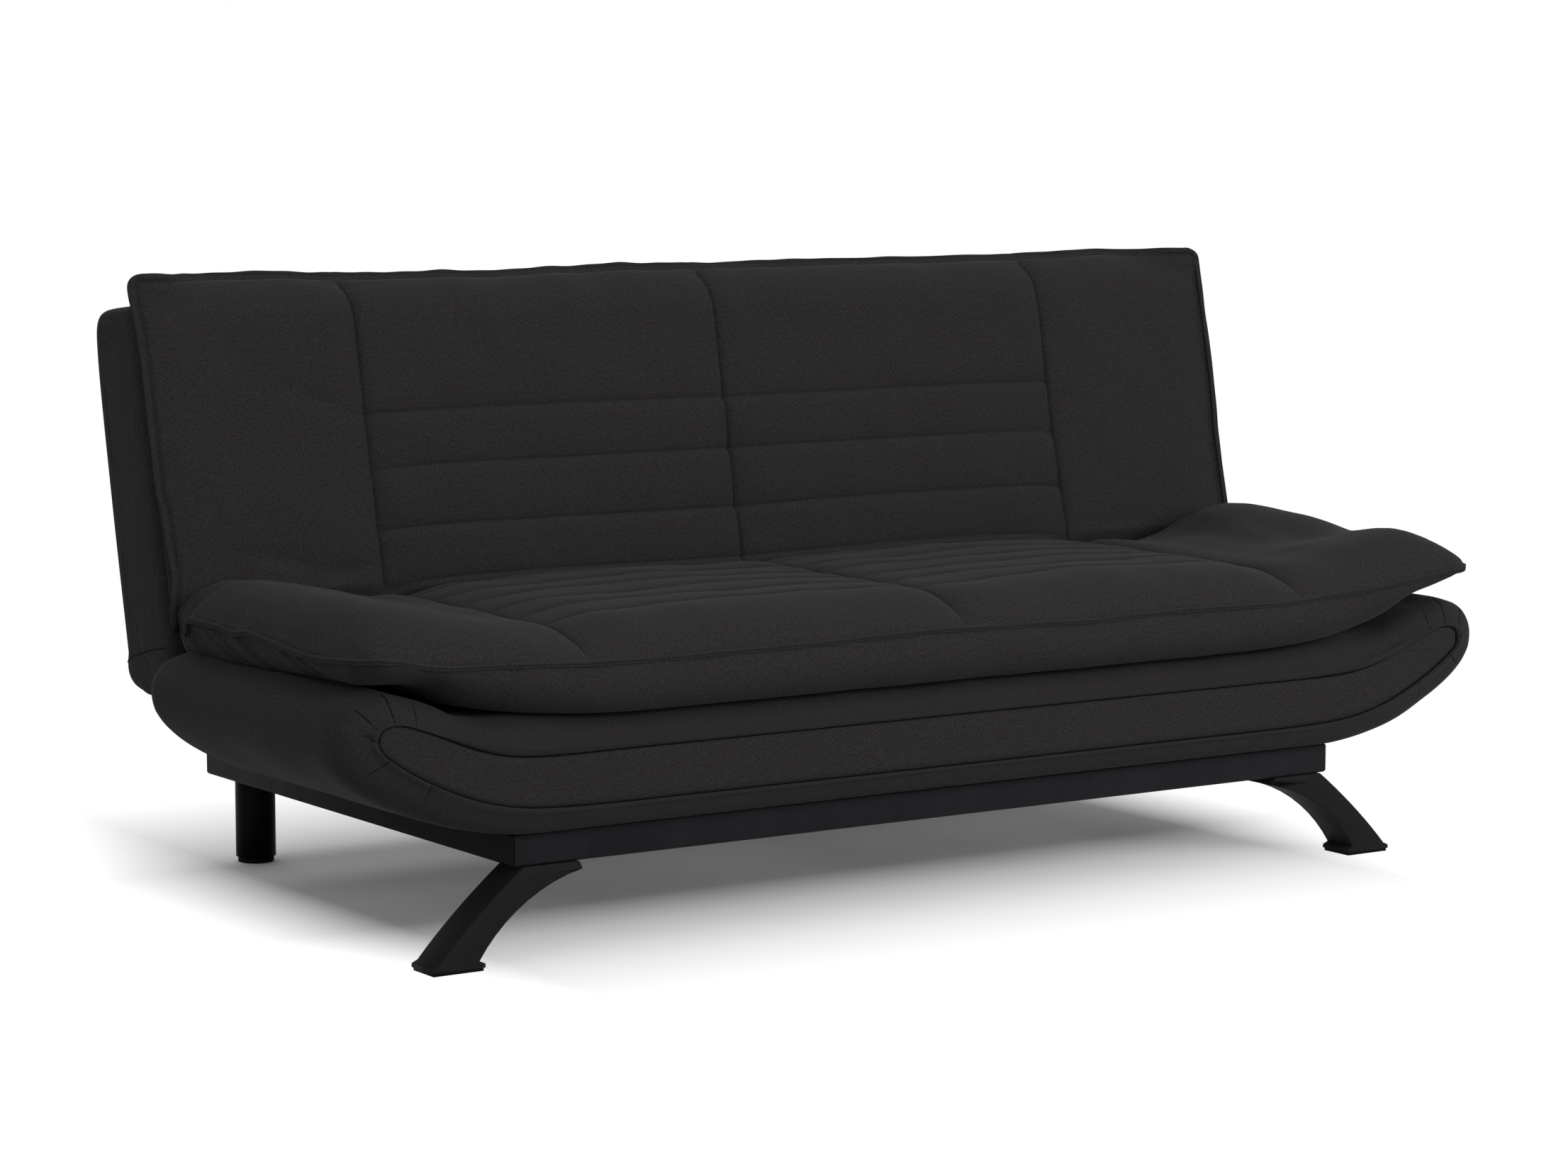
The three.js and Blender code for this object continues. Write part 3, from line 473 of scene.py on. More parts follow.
# How far the under side is lifted to the welt towards each end: place along, and share
BOX_LEFT = ((0.905, 0.0), (0.918, 0.03), (0.930, 0.10), (0.942, 0.34), (0.951, 0.68), (0.957, 1.0))
BOX_RIGHT = ((0.850, 0.0), (0.880, 0.16), (0.905, 0.38), (0.930, 0.66), (0.957, 1.0))
CREASE_IN = 0.0055
REAR_TAKE_IN = 0.0155
GATHERS = (0.110, 0.150, 0.277, 0.347, 0.379)


def pad_stations(half, steps):
    """Stations along a pad, closer together at its seams and where its ends turn over."""
    right = lines(0.0, half - PAD_TURN, 0.012, seams=(0.0, SEAM_X))
    return both_sides(np.concatenate([right, rounded_ends(half, PAD_TURN, steps)[1:]]))


def from_seams(x):
    """How far a place is from the nearest of the three long seams."""
    return np.min([np.abs(x - seam) for seam in SEAM_PLACES], axis=0)


def seat_welt(x, y):
    """Height of the welt line at the edge of the seat cushion."""
    near_end = smooth((np.abs(x) - 0.80) / (PAD_HALF - 0.80))
    return through(WELT_FRONT, x) + near_end * through(WELT_SIDE, y)


def seam_dip(x, depth):
    """How far the cover is drawn down beside the three long seams: steep at the seam, then soft."""
    near = from_seams(x)
    return depth * (0.55 * np.exp(-near / 0.010) + 0.45 * np.exp(-near / 0.038)) + 0.002 * bump(near, 0.0022)


def channel_dip(x, y, channels, depth, reach_low, reach_high):
    """How far the middle panels are drawn in along the quilting lines, which droop at the outer seams."""
    from_seam = np.clip(SEAM_X - np.abs(x), 0, 1)
    total, near = 0.0, 1.0
    for line, droop in channels:
        off = y + 0.0016 * ripple(x, line, 0.45, 11) - line + droop * np.exp(-from_seam / 0.04)
        total = np.maximum(total, np.exp(np.where(off < 0, off / reach_low, -off / reach_high)))
        near = np.minimum(near, np.abs(off))
    inside = smooth((SEAM_X + 0.004 - np.abs(x)) / 0.008)
    return inside * (depth * total + 0.0014 * bump(near, 0.0020))


def seat_cover(x, y):
    """Height of the top of the seat cushion."""
    at = np.abs(x)
    wing = smooth((at - 0.635) / 0.06)
    crest = through(CREST, at) - seam_dip(x, 0.0095)
    crest -= channel_dip(x, y, [(line, 0.0) for line in CHANNELS], 0.0036, 0.016, 0.006)
    crest -= through(CREASE_FALL, y) * (1 - wing)
    crest -= through(WING_FALL, y) * wing * (1 + 0.32 * np.sign(x))
    crest += (0.0185 * bump(y - 0.39, 0.11) - 0.0135 * bump(y - 0.15, 0.07)) * smooth((x - 0.72) / 0.12)
    brow = bump(y - 0.112 + 0.05 * (at - 0.7), 0.016) - 0.75 * bump(y - 0.175, 0.045)
    crest += 0.0026 * brow * wing * smooth((0.86 - at) / 0.08)
    rear_line = bump(y - 0.425 - 0.03 * (at - 0.7), 0.012) - 0.6 * bump(y - 0.452, 0.016)
    crest += 0.0022 * rear_line * wing * smooth((0.90 - at) / 0.06)
    fold = bump(at - 0.735 - 0.16 * y, 0.018) - 0.7 * bump(at - 0.70 - 0.14 * y, 0.020)
    crest += 0.0022 * fold * smooth((y - 0.12) / 0.1)
    crest += 0.0018 * ripple(x, y, 0.24, 3) + 0.0009 * ripple(x, y, 0.10, 4)
    welt = seat_welt(x, y)
    panel = 1 - np.exp(-from_seams(x) / 0.04)
    run = np.clip((y - PAD_FRONT) / 0.125, 0, 1)
    roll = (1 - (1 - run) ** (1.95 + 0.5 * panel)) ** (1 - 0.42 * panel)
    turn = np.clip((at - 0.835) / (PAD_HALF - 0.835), 0, 1)
    side = (1 - turn ** 2.3) ** 0.60
    inwards = np.minimum(y - PAD_FRONT, PAD_HALF - at)
    crease = 0.0020 * bump(inwards - CREASE_IN, 0.0035) * smooth((0.45 - y) / 0.02)
    return welt + (crest - welt) * roll * side - crease


def seat_corner(x, y):
    """Takes the corners of the seat cushion in a little, seen from above."""
    near_end = np.clip((np.abs(x) - (PAD_HALF - 0.045)) / 0.045, 0, 1)
    near_front = np.clip((PAD_FRONT + 0.045 - y) / 0.045, 0, 1)
    pull = 0.016 * near_end ** 2 * near_front ** 2
    rear = np.clip((y - 0.44) / (PAD_REAR - 0.44), 0, 1)
    take_in = 0.014 * smooth(rear * 1.3) * near_end
    return x - np.sign(x) * (pull + take_in), y + pull - REAR_TAKE_IN * rear * smooth(near_end * 1.2)


# The seat cushion's front from the welt down: distance behind its front edge, and share of the way down
BOXING = (
    (-0.004, 0.10), (-0.008, 0.25), (-0.009, 0.42), (-0.007, 0.58), (-0.002, 0.72), (0.006, 0.84),
    (0.018, 0.93), (0.034, 0.98), (0.055, 1.0),
)


def seat_lines():
    """Stations along the sofa and rows from front to back for the seat cushion."""
    roll = PAD_FRONT + 0.05 * (1 - np.cos(np.linspace(0, math.pi / 2, 12)))
    y = np.concatenate([roll[:-1], lines(roll[-1], PAD_REAR - 0.03, 0.012, seams=CHANNELS)])
    y = np.union1d(y, (0.418, 0.428, 0.438, 0.444, 0.450, 0.463, 0.469))
    return pad_stations(PAD_HALF, 16), np.concatenate([y, (0.512, 0.520, 0.528, PAD_REAR)])


def seat_top_sheet(x, y):
    gx, gy = np.meshgrid(x, y, indexing="ij")
    px, py = seat_corner(gx, gy)
    return np.stack([px, py + FRONT, seat_cover(gx, gy) + EDGE_HALF], axis=2)


def seat_under_sheet(x):
    """Boxing from the welt down and under, then along what the cushion lies on, front to back."""
    at = np.abs(x)
    end = smooth((at - 0.90) / 0.057)
    raised = np.where(x > 0, through(BOX_RIGHT, at), through(BOX_LEFT, at))
    tuck = 0.050 * smooth((at - 0.60) / 0.26)
    rows = [(PAD_FRONT + out * (1 - end) + tuck * share ** 1.3, share) for out, share in BOXING]
    rows += [(np.full_like(x, place), 1.0) for place in np.linspace(0.060, PAD_REAR, 60)]
    under = []
    for depth, share in rows:
        welt = seat_welt(x, depth) - EDGE_HALF
        sunk = 0.014 * smooth((depth - 0.03) / 0.42) * smooth((at - 0.86) / 0.06)
        deck = through(DECK_LINE, at) + 0.0012 - sunk
        low = deck + (welt - deck) * raised
        z = welt + (low - welt) * share
        lean = -1.6 * (z - 0.41)
        folds = np.sum([bump(depth + lean - place, 0.0055) for place in GATHERS], axis=0)
        between = np.sum([bump(depth + lean - place - 0.016, 0.010) for place in GATHERS], axis=0)
        gathers = (0.0042 * folds - 0.0020 * between) * bump(at - 0.940, 0.022)
        wave = 0.0016 * ripple(x, z, 0.12, 8) * (share < 1) * (1 - end)
        px, py = seat_corner(x, depth + wave)
        px = px - np.sign(x) * (gathers + 0.0012 * ripple(depth, z, 0.09, 9) * end * (at < PAD_HALF - 0.001))
        under.append(np.stack([px, py + FRONT, z + gathers * 0.5], axis=1))
    return np.stack(under, axis=1)


def build_seat_cushion():
    x, y = seat_lines()
    top, under = seat_top_sheet(x, y), seat_under_sheet(x)
    rings = np.concatenate([under[:, ::-1], top], axis=1)
    cushion = lofted("seat_cushion", rings)
    finish_piece(cushion, fabric)
    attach(cushion, "base")
    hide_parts("seat_pad")
    border = np.concatenate([top[0, ::-1], top[1:-1, 0], top[-1]])
    keep = border[:, 1] < FRONT + 0.475
    return border[keep] - (0, 0, EDGE_HALF)


def resampled(path, pitch):
    """The same path with evenly spaced points."""
    run = run_along(path)
    at = np.linspace(0, run[-1], max(3, round(run[-1] / pitch)))
    return np.stack([np.interp(at, run, path[:, k]) for k in range(3)], axis=1)


def resampled_flat(path, pitch):
    """The same flat path with evenly spaced points, its ends kept."""
    run = run_along(path)
    at = np.linspace(0, run[-1], max(3, round(run[-1] / pitch)))
    return np.stack([through(np.stack([run, path[:, k]], axis=1), at) for k in range(2)], axis=1)


# The sewn edge in section, in mm: how far out and how far up. The notch is the stitched groove.
FLANGE = (
    (-3.6, 2.6), (-1.4, 3.7), (1.0, 4.1), (3.0, 3.7), (4.2, 2.7), (4.6, 1.5), (4.3, 0.3), (3.5, -0.3),
    (2.7, -0.8), (3.5, -1.2), (4.3, -1.8), (4.4, -2.8), (3.6, -3.8), (1.8, -4.3), (-1.0, -3.9), (-3.6, -2.8),
)


def outwards(path, normal):
    """Away from the middle of a pad, square to its normal, for each point of its edge."""
    way = np.cross(np.gradient(path, axis=0), normal)
    flip = np.sign(((path - path.mean(axis=0)) * way).sum(1))
    return way * flip[:, None]


def build_welt(name, border, body, normal, size):
    """The sewn edge of a pad: two folded layers with a stitched groove between them."""
    path = resampled(border, 0.005)
    run = np.arange(len(path)) * 0.005
    path[:, 2] += 0.0009 * ripple(run, 0.0, 0.16, 21)
    ahead = np.gradient(path, axis=0)
    ahead /= np.linalg.norm(ahead, axis=1)[:, None]
    way = outwards(path, normal)
    way -= (way * ahead).sum(1)[:, None] * ahead
    way /= np.linalg.norm(way, axis=1)[:, None]
    up = np.cross(way, ahead)
    up *= np.sign(up[:, 2] - up[:, 1])[:, None]
    wide, thick = size
    plump = (0.001 * (1 + 0.10 * ripple(run, 0.0, 0.06, 23)))[:, None]
    rings = np.stack([path + plump * (a * wide * way + b * thick * up) for a, b in FLANGE], axis=1)
    strip = lofted(name, rings, run)
    finish_piece(strip, fabric_edge, levels=1)
    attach(strip, body)


# Back cushion: hangs on the back shell, quilted like the seat

BACK_HALF = 0.951
CORNER = 0.016
BACK_TOP = 0.5335
# Where the front of the back cushion starts to roll over to its top: share of the way up, and height
ROLL_SHARE = 0.83
ROLL_FROM = 0.450
BACK_LOW = 0.0475
BACK_CHANNELS = ((0.079, 0.014), (0.155, 0.005), (0.243, 0.007), (0.3215, 0.002))
# Soft dents: place along, height, reach along, reach up, depth and slant
BACK_DENTS = (
    (-0.690, 0.345, 0.060, 0.013, 0.0040, -0.38), (-0.640, 0.240, 0.030, 0.012, 0.0020, 0.0),
    (-0.775, 0.120, 0.060, 0.013, 0.0050, -0.22), (-0.670, 0.098, 0.050, 0.011, 0.0040, 0.10),
    (0.648, 0.385, 0.030, 0.014, 0.0022, 0.0), (0.645, 0.290, 0.030, 0.012, 0.0020, 0.0),
    (0.700, 0.090, 0.060, 0.014, 0.0030, 0.05),
)
BACK_LEFT_EDGE = (
    (0.0, 0.0020), (0.055, 0.0027), (0.075, 0.0060), (0.11, 0.0105), (0.15, 0.0075), (0.19, 0.0060),
    (0.23, 0.0010), (0.30, 0.0005), (0.44, 0.0005), (0.47, -0.0020), (0.50, -0.0045), (0.56, -0.0050),
)
BACK_RIGHT_EDGE = (
    (0.0, 0.0135), (0.10, 0.0140), (0.18, 0.0150), (0.217, 0.0150), (0.26, 0.0125), (0.30, 0.0105),
    (0.40, 0.0090), (0.50, 0.0055), (0.56, 0.0045),
)
BACK_TOP_LINE = (
    (-0.891, 0.001), (-0.724, 0.0), (-0.667, -0.002), (-0.610, -0.004), (-0.552, -0.006), (-0.434, -0.007),
    (-0.375, -0.008), (-0.314, -0.004), (-0.253, 0.0), (-0.129, 0.001), (-0.066, -0.003), (0.127, -0.004),
    (0.260, -0.003), (0.395, -0.006), (0.464, -0.006), (0.533, -0.004), (0.604, -0.002), (0.747, -0.002),
    (0.894, -0.005), (0.951, 0.0),
)
BACK_DROOP = 0.014
BACK_CREASE_IN = 0.0085
BACK_FRONT_LINE = (
    (0.0, -0.0780, 0.0475), (0.10, -0.0775, 0.095), (0.55, -0.0755, 0.320), (0.83, -0.0750, 0.450),
    (0.885, -0.0710, 0.480), (0.925, -0.0640, 0.500), (0.965, -0.0470, 0.519), (1.0, -0.0210, 0.5325),
)
# Where the boxing behind the cushion starts to turn forward, and how many points in the welt starts and ends
BOXING_FROM = 0.903
WELT_START = 14


def leaned(x, v, u):
    """Places in the back, told by v, its depth, and u, the height up its lean from the hinge."""
    y = PIVOT[1] + v * math.cos(LEAN) + u * math.sin(LEAN)
    z = PIVOT[2] - v * math.sin(LEAN) + u * math.cos(LEAN)
    return np.stack(np.broadcast_arrays(x, y, z), axis=-1)


def back_lines():
    height = lines(BACK_LOW, 0.46, 0.0065, seams=[line for line, droop in BACK_CHANNELS])
    places, depths, heights = zip(*BACK_FRONT_LINE[:4])
    share = np.interp(height, heights, places)
    roll = 1 - 0.165 * (1 - np.sin(np.linspace(0, math.pi / 2, 26)))
    return pad_stations(BACK_HALF, 22), np.concatenate([share[share < ROLL_SHARE], roll])


def back_front_sheet(x, share):
    gx, gs = np.meshgrid(x, share, indexing="ij")
    at = np.abs(gx)
    places, depths, heights = np.array(BACK_FRONT_LINE).T
    v = through(np.stack([places, depths], axis=1), gs)
    u = through(np.stack([places, heights], axis=1), gs)
    low = smooth((u - BACK_LOW) / 0.03)
    crown = 0.017 * low * (1 - 0.6 * smooth((u - 0.47) / 0.06))
    held = 1 - 0.85 * smooth((gs - 0.955) / 0.03)
    crown = crown - seam_dip(gx, 0.0125) * low * held
    crown -= channel_dip(gx, u, BACK_CHANNELS, 0.0075, 0.006, 0.021)
    crown += 0.0022 * ripple(gx, u, 0.26, 31) + 0.0011 * ripple(gx, u, 0.10, 32)
    for along, up, reach_x, reach_u, depth, slant in BACK_DENTS:
        crown -= depth * bump(gx - along, reach_x) * bump(u - up - slant * (gx - along), reach_u)
    groove = bump(1.0 - gs - 0.015, 0.008) * smooth((BACK_HALF - at) / 0.02)
    crown -= 0.0070 * groove
    side = 1 - np.clip((at - (BACK_HALF - 0.075)) / 0.075, 0, 1) ** 2.4
    slope = smooth((gs - ROLL_SHARE) / (1 - ROLL_SHARE))
    near_end = smooth((at - 0.80) / 0.125)
    flat_top = smooth((gs - 0.86) / 0.10) * near_end
    v = v - crown * np.cos(slope * 1.1) * side
    u = u + crown * np.sin(slope * 1.1) * side * 0.6
    u += (0.0030 * ripple(gx, 0.0, 0.5, 33) + through(BACK_TOP_LINE, gx)) * smooth((gs - 0.8) / 0.2)
    u -= BACK_DROOP * smooth((at - 0.86) / 0.05) * smooth((0.10 - u) / 0.05)
    u -= 0.0085 * near_end * smooth((gs - 0.8) / 0.2)
    edge_v = -0.090 + 0.006 * smooth((gs - 0.6) / 0.4)
    corner = np.clip((at - (BACK_HALF - CORNER)) / CORNER, 0, 1)
    top = BACK_TOP - CORNER * (1 - np.sqrt(1 - 0.97 * corner ** 2))
    u = np.where(gs > ROLL_SHARE, ROLL_FROM + (u - ROLL_FROM) * (top - ROLL_FROM) / 0.0825, u)
    hold = side ** 0.55 * (1 - flat_top)
    v = edge_v + (v - edge_v) * hold
    v += 0.0045 * groove * flat_top
    v += 0.0036 * bump(BACK_HALF - at - BACK_CREASE_IN, 0.0040) * (at < BACK_HALF - 1e-6)
    taken_in = np.where(gx > 0, through(BACK_RIGHT_EDGE, u), through(BACK_LEFT_EDGE, u))
    taken_in = taken_in * smooth((at - 0.80) / 0.15)
    over = smooth((u - (BACK_TOP - CORNER)) / CORNER) * 0.002
    over *= np.clip((at - 0.90) / (BACK_HALF - 0.90), 0, 1) ** 2
    return v - EDGE_HALF, u, gx - np.sign(gx) * (taken_in + over)


def back_rear_sheet(x, u_edge):
    """From the top welt down behind the cushion to its lower edge."""
    at = np.abs(x)
    turn = np.clip((at - BOXING_FROM) / (BACK_HALF - BOXING_FROM), 0, 1) ** 1.5
    rows = [(-0.0005, share) for share in (0.985, 0.95, 0.90)]
    rows += [(-0.001, share) for share in (0.8, 0.65, 0.5, 0.35, 0.2)]
    rows += [(-0.002, 0.11), (-0.018, 0.085), (-0.045, 0.078)]
    vs, us = [], []
    for depth, share in rows:
        u = share * u_edge - BACK_DROOP * smooth((at - 0.86) / 0.05) * smooth((0.13 - share) / 0.06)
        vs.append(depth + (-0.0875 + 2 * EDGE_HALF - depth) * turn)
        us.append(u)
    return np.stack(vs, axis=1), np.stack(us, axis=1)


def build_back_cushion():
    x, share = back_lines()
    v, u, gx = back_front_sheet(x, share)
    rear_v, rear_u = back_rear_sheet(x, u[:, -1])
    front = leaned(gx, v, u)
    rear_x = np.stack([np.interp(-rear_u[i], -u[i, ::-1], gx[i, ::-1]) for i in range(len(x))])
    rear = leaned(rear_x, rear_v, rear_u)
    cushion = lofted("back_cushion", np.concatenate([front, rear], axis=1))
    finish_piece(cushion, fabric)
    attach(cushion, "back")
    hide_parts("back_pad")
    middle = leaned(gx, v + EDGE_HALF, u)
    left, right = middle[WELT_START:0:-1, 0], middle[-2:-WELT_START - 2:-1, 0]
    return np.concatenate([left, middle[0], middle[1:-1, -1], middle[-1, ::-1], right])


# Seat body: upholstered all round to one boat-shaped outline

ARM_TOP = 0.390
DECK_HALF = 0.500
VALLEY_RUN = 0.120
HULL = ((0, 0), (0.368, 0.027), (0.886, 0.271), (0.983, 0.577))
TIP = ((0.983, 0.577), (1.023, 0.741), (0.987, 0.915), (0.853, 0.944))
CREST_ARM = ((0.853, 0.944), (0.719, 1.01), (0.585, 1.02), (0.368, 0.835))


def arm_place(shares):
    """A place in the arm, told as shares of its reach and of its rise."""
    across, up = np.array(shares).T
    places = ARM_ROOT + across * (ARM_TIP - ARM_ROOT), SEAT_BOTTOM + up * (ARM_TOP - SEAT_BOTTOM)
    return np.stack(places, axis=1)


def bezier(points, steps):
    a, b, c, d = np.array(points, float)
    t = np.linspace(0, 1, steps + 1)[:-1, None]
    return a * (1 - t) ** 3 + 3 * b * t * (1 - t) ** 2 + 3 * c * t * t * (1 - t) + d * t ** 3


def straight(a, b, steps):
    t = np.linspace(0, 1, steps + 1)[:-1, None]
    return np.array(a) * (1 - t) + np.array(b) * t


def even(points, steps):
    """The polyline with evenly spaced points, without its last."""
    run = run_along(points)
    at = np.linspace(0, run[-1], steps + 1)[:-1]
    return np.stack([np.interp(at, run, points[:, k]) for k in range(2)], axis=1)


def whole(half):
    """A closed outline from its right half, which starts and ends on the middle line."""
    left = half[-2:0:-1] * (-1, 1)
    return np.concatenate([half, left])


def boat_outline():
    valley = arm_place(((0.368, 0.835), (0.167, 0.756)))
    deck = (DECK_HALF, DECK_TOP)
    saddle = bezier((valley[0], valley[1], (DECK_HALF + VALLEY_RUN, DECK_TOP), deck), 16)
    top = np.concatenate([saddle, [deck, (0, DECK_TOP)]])
    half = np.concatenate([
        straight((0, SEAT_BOTTOM), (ARM_ROOT, SEAT_BOTTOM), 24),
        bezier(arm_place(HULL), 22),
        bezier(arm_place(TIP), 18),
        bezier(arm_place(CREST_ARM), 18),
        even(top, 30),
        [(0, DECK_TOP)],
    ])
    x, z = half.T
    half[:, 1] -= 0.011 * smooth((x - 0.70) / 0.08) * smooth((0.915 - x) / 0.045) * (z > 0.30)
    return whole(half)


PANEL_LOW = (
    (0.600, 0.2139), (0.660, 0.2156), (0.690, 0.2170), (0.720, 0.2203), (0.750, 0.2262), (0.780, 0.2341),
    (0.810, 0.2456), (0.840, 0.2591), (0.870, 0.2740), (0.900, 0.2923), (0.914, 0.3035),
)
PANEL_TIP = (
    (0.914, 0.3035), (0.923, 0.3120), (0.9268, 0.3205), (0.9268, 0.3290), (0.9235, 0.3375), (0.917, 0.3435),
)
PANEL_HIGH = (
    (0.917, 0.3435), (0.908, 0.3475), (0.898, 0.3484), (0.885, 0.3462), (0.870, 0.3412), (0.840, 0.3271),
    (0.810, 0.3142), (0.780, 0.3022), (0.750, 0.2935), (0.720, 0.2882), (0.690, 0.2862), (0.660, 0.2855),
)


def panel_outline():
    """The edge of the lozenge let into the seat front, with as many points as the boat outline."""
    half = np.concatenate([
        straight((0, 0.2137), PANEL_LOW[0], 24),
        even(np.array(PANEL_LOW), 22),
        even(np.array(PANEL_TIP), 18),
        even(np.array(PANEL_HIGH), 18),
        straight(PANEL_HIGH[-1], (0, 0.2860), 30),
        [(0, 0.2860)],
    ])
    for _ in range(3):
        half[1:-1] = (half[:-2] + 2 * half[1:-1] + half[2:]) / 4
    return whole(half)


def inset(outline, distance):
    """The outline moved inwards."""
    run = np.roll(outline, -1, 0) - np.roll(outline, 1, 0)
    run /= np.linalg.norm(run, axis=1)[:, None]
    return outline + np.stack([-run[:, 1], run[:, 0]], axis=1) * np.reshape(distance, (-1, 1))


# Short seams round the arm ends, each told by its start at the cord, its middle and its end, and its depth
DARTS = (
    ((0.9026, 0.3490), (0.9060, 0.3705), (0.9068, 0.3860), 1.0),
    ((0.9295, 0.3424), (0.9400, 0.3560), (0.9495, 0.3670), 1.0),
    ((0.9300, 0.3265), (0.9405, 0.3325), (0.9490, 0.3361), 0.6),
    ((0.9130, 0.3000), (0.9250, 0.2910), (0.9395, 0.2820), 1.0),
    ((0.8720, 0.3430), (0.8700, 0.3560), (0.8697, 0.3674), 0.4),
    ((0.8507, 0.2630), (0.8550, 0.2510), (0.8575, 0.2390), 0.6),
)


def dart_dip(x, z):
    """How far the band is drawn in along the short seams round the arm ends."""
    total = np.zeros_like(x)
    for *places, depth in DARTS:
        for (ax, az), (bx, bz) in zip(places, places[1:]):
            run = np.array((bx - ax, bz - az))
            t = np.clip(((np.abs(x) - ax) * run[0] + (z - az) * run[1]) / (run @ run), 0, 1)
            far = np.hypot(np.abs(x) - ax - t * run[0], z - az - t * run[1])
            total = np.maximum(total, depth * 0.0022 * bump(far, 0.006))
    return total


# How the seat body rounds over at its front and rear: distance in from the outline, and depth
EDGE_ROUND = (
    (0.029, 0.0004), (0.0205, 0.0028), (0.0135, 0.0070), (0.0075, 0.0130), (0.0030, 0.0210), (0.0, 0.0330),
)
# The face of the lozenge's bed, from its middle out to the cord, and of the band round it
BED = ((0.013, 0.011), (0.0045, 0.0105), (0.0010, 0.007), (-0.0006, 0.0018))
BAND = ((0.03, -0.0012), (0.10, -0.0030), (0.25, -0.0048), (0.45, -0.0052), (0.65, -0.0045), (0.85, -0.0025))


def build_seat_body():
    boat, panel = boat_outline(), panel_outline()
    gap = np.linalg.norm(boat[:, None] - panel[None], axis=2).min(axis=1)
    rounding = 1 + 0.55 * smooth((np.abs(boat[:, 0]) - 0.80) / 0.12)
    rounding = np.minimum(rounding, np.maximum(0.80 * gap / EDGE_ROUND[0][0], 0.6))
    shoulder = inset(boat, EDGE_ROUND[0][0] * rounding)
    face = SEAT_FRONT
    rings = [(inset(panel, distance), face + depth) for distance, depth in BED]
    for share, out in BAND:
        rings.append((panel * (1 - share) + shoulder * share, face + out))
    for distance, depth in EDGE_ROUND:
        rings.append((inset(boat, distance * rounding), face + depth * rounding))
    for place in np.linspace(SEAT_FRONT + 0.065, SEAT_BACK - 0.045, 14):
        rings.append((boat, place))
    for distance, depth in EDGE_ROUND[::-1]:
        rings.append((inset(boat, distance), SEAT_BACK - depth))
    rings.append((inset(boat, 0.05), SEAT_BACK))
    points = []
    for ring, depth in rings:
        x, z = ring.T
        y = np.full_like(x, depth)
        near_front = smooth((face + 0.06 - y) / 0.05)
        dip = dart_dip(x, z) * (y < face + 0.012)
        soft = 0.0016 * ripple(x, z, 0.20, 41) * (y < face + 0.002)
        pucker = 0.0024 * ripple(x, 0.0, 0.055, 42) * near_front * smooth((z - 0.285) / 0.03)
        side = 0.0022 * ripple(y, z, 0.16, 43) * smooth((np.abs(x) - 0.72) / 0.05) * (1 - near_front)
        hidden = 0.009 * (z < SEAT_BOTTOM + 0.002) * (np.abs(x) < RAIL_HALF - 0.035)
        hidden = hidden * (y > FRONT + 0.045) * (y < SEAT_BACK - 0.035)
        place = x + np.sign(x) * side, y + dip + soft * 0.6, z - pucker * 0.5 + hidden
        points.append(np.stack(place, axis=1))
    rings_3d = np.stack(points)
    pairs = zip(rings, rings[1:])
    steps = [np.max(np.abs(b[1] - a[1])) + np.abs(b[0] - a[0]).max() for a, b in pairs]
    run = np.concatenate([[0], np.cumsum(steps)])
    body = lofted("seat_upholstery", rings_3d, run)
    finish_piece(body, fabric, levels=1)
    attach(body, "base")
    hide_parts("seat_fascia", "seat_rear_panel", "arm_right", "arm_left", "seat_deck")
    build_front_panel(panel)
    build_darts(body)


def build_front_panel(panel):
    """The lozenge let into the seat front, and the dark cord sewn round it."""
    tip = panel[:, 0].argmax()
    half = panel[: len(panel) // 2 + 1]
    lower, upper = half[: tip + 1], half[tip:][::-1]
    tip_x = panel[tip, 0] - 0.0006
    x = both_sides(np.concatenate([np.linspace(0, tip_x - 0.075, 44), rounded_ends(tip_x, 0.075, 20)[1:]]))
    low = np.interp(np.abs(x), lower[:, 0], lower[:, 1])
    high = np.interp(np.abs(x), upper[:, 0], upper[:, 1])
    rise = 0.5 - 0.5 * np.cos(np.linspace(0, math.pi, 17))
    z = low[:, None] + (high - low)[:, None] * rise
    edge = np.minimum(np.minimum(z - low[:, None], high[:, None] - z), (tip_x - np.abs(x))[:, None] + 1e-4)
    wave = 0.0006 * ripple(x[:, None], z, 0.17, 51)
    swell = 0.0050 * (1 - np.exp(-edge / 0.0030)) + wave
    face = np.stack(np.broadcast_arrays(x[:, None], SEAT_FRONT + 0.0024 - swell, z), axis=2)
    hidden = np.stack(np.broadcast_arrays(x[:, None], SEAT_FRONT + 0.0100, z[:, ::-1]), axis=2)[:, ::4]
    piece = lofted("front_lozenge", np.concatenate([face, hidden], axis=1))
    finish_piece(piece, fabric, levels=1)
    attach(piece, "base")
    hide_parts("seat_front_panel")
    x, z = panel.T
    path = np.stack([x, np.full_like(x, SEAT_FRONT + 0.0002), z], axis=1)
    path = np.concatenate([path, path[:1]])
    cord = tube("lozenge_piping", resampled(path, 0.008)[:-1], 0.0014, closed=True)
    finish_piece(cord, piping_cloth)
    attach(cord, "base")


def surface(piece):
    """The piece's mesh as a tree that lines can be tested against."""
    mesh = piece.data
    return BVHTree.FromPolygons([v.co for v in mesh.vertices], [tuple(f.vertices) for f in mesh.polygons])


def laid_on(tree, starts, way):
    """Where lines that start at these places and run along way meet the surface."""
    met = [tree.ray_cast(Vector(start), Vector(way))[0] for start in starts]
    return np.array([tuple(place) for place in met if place is not None])


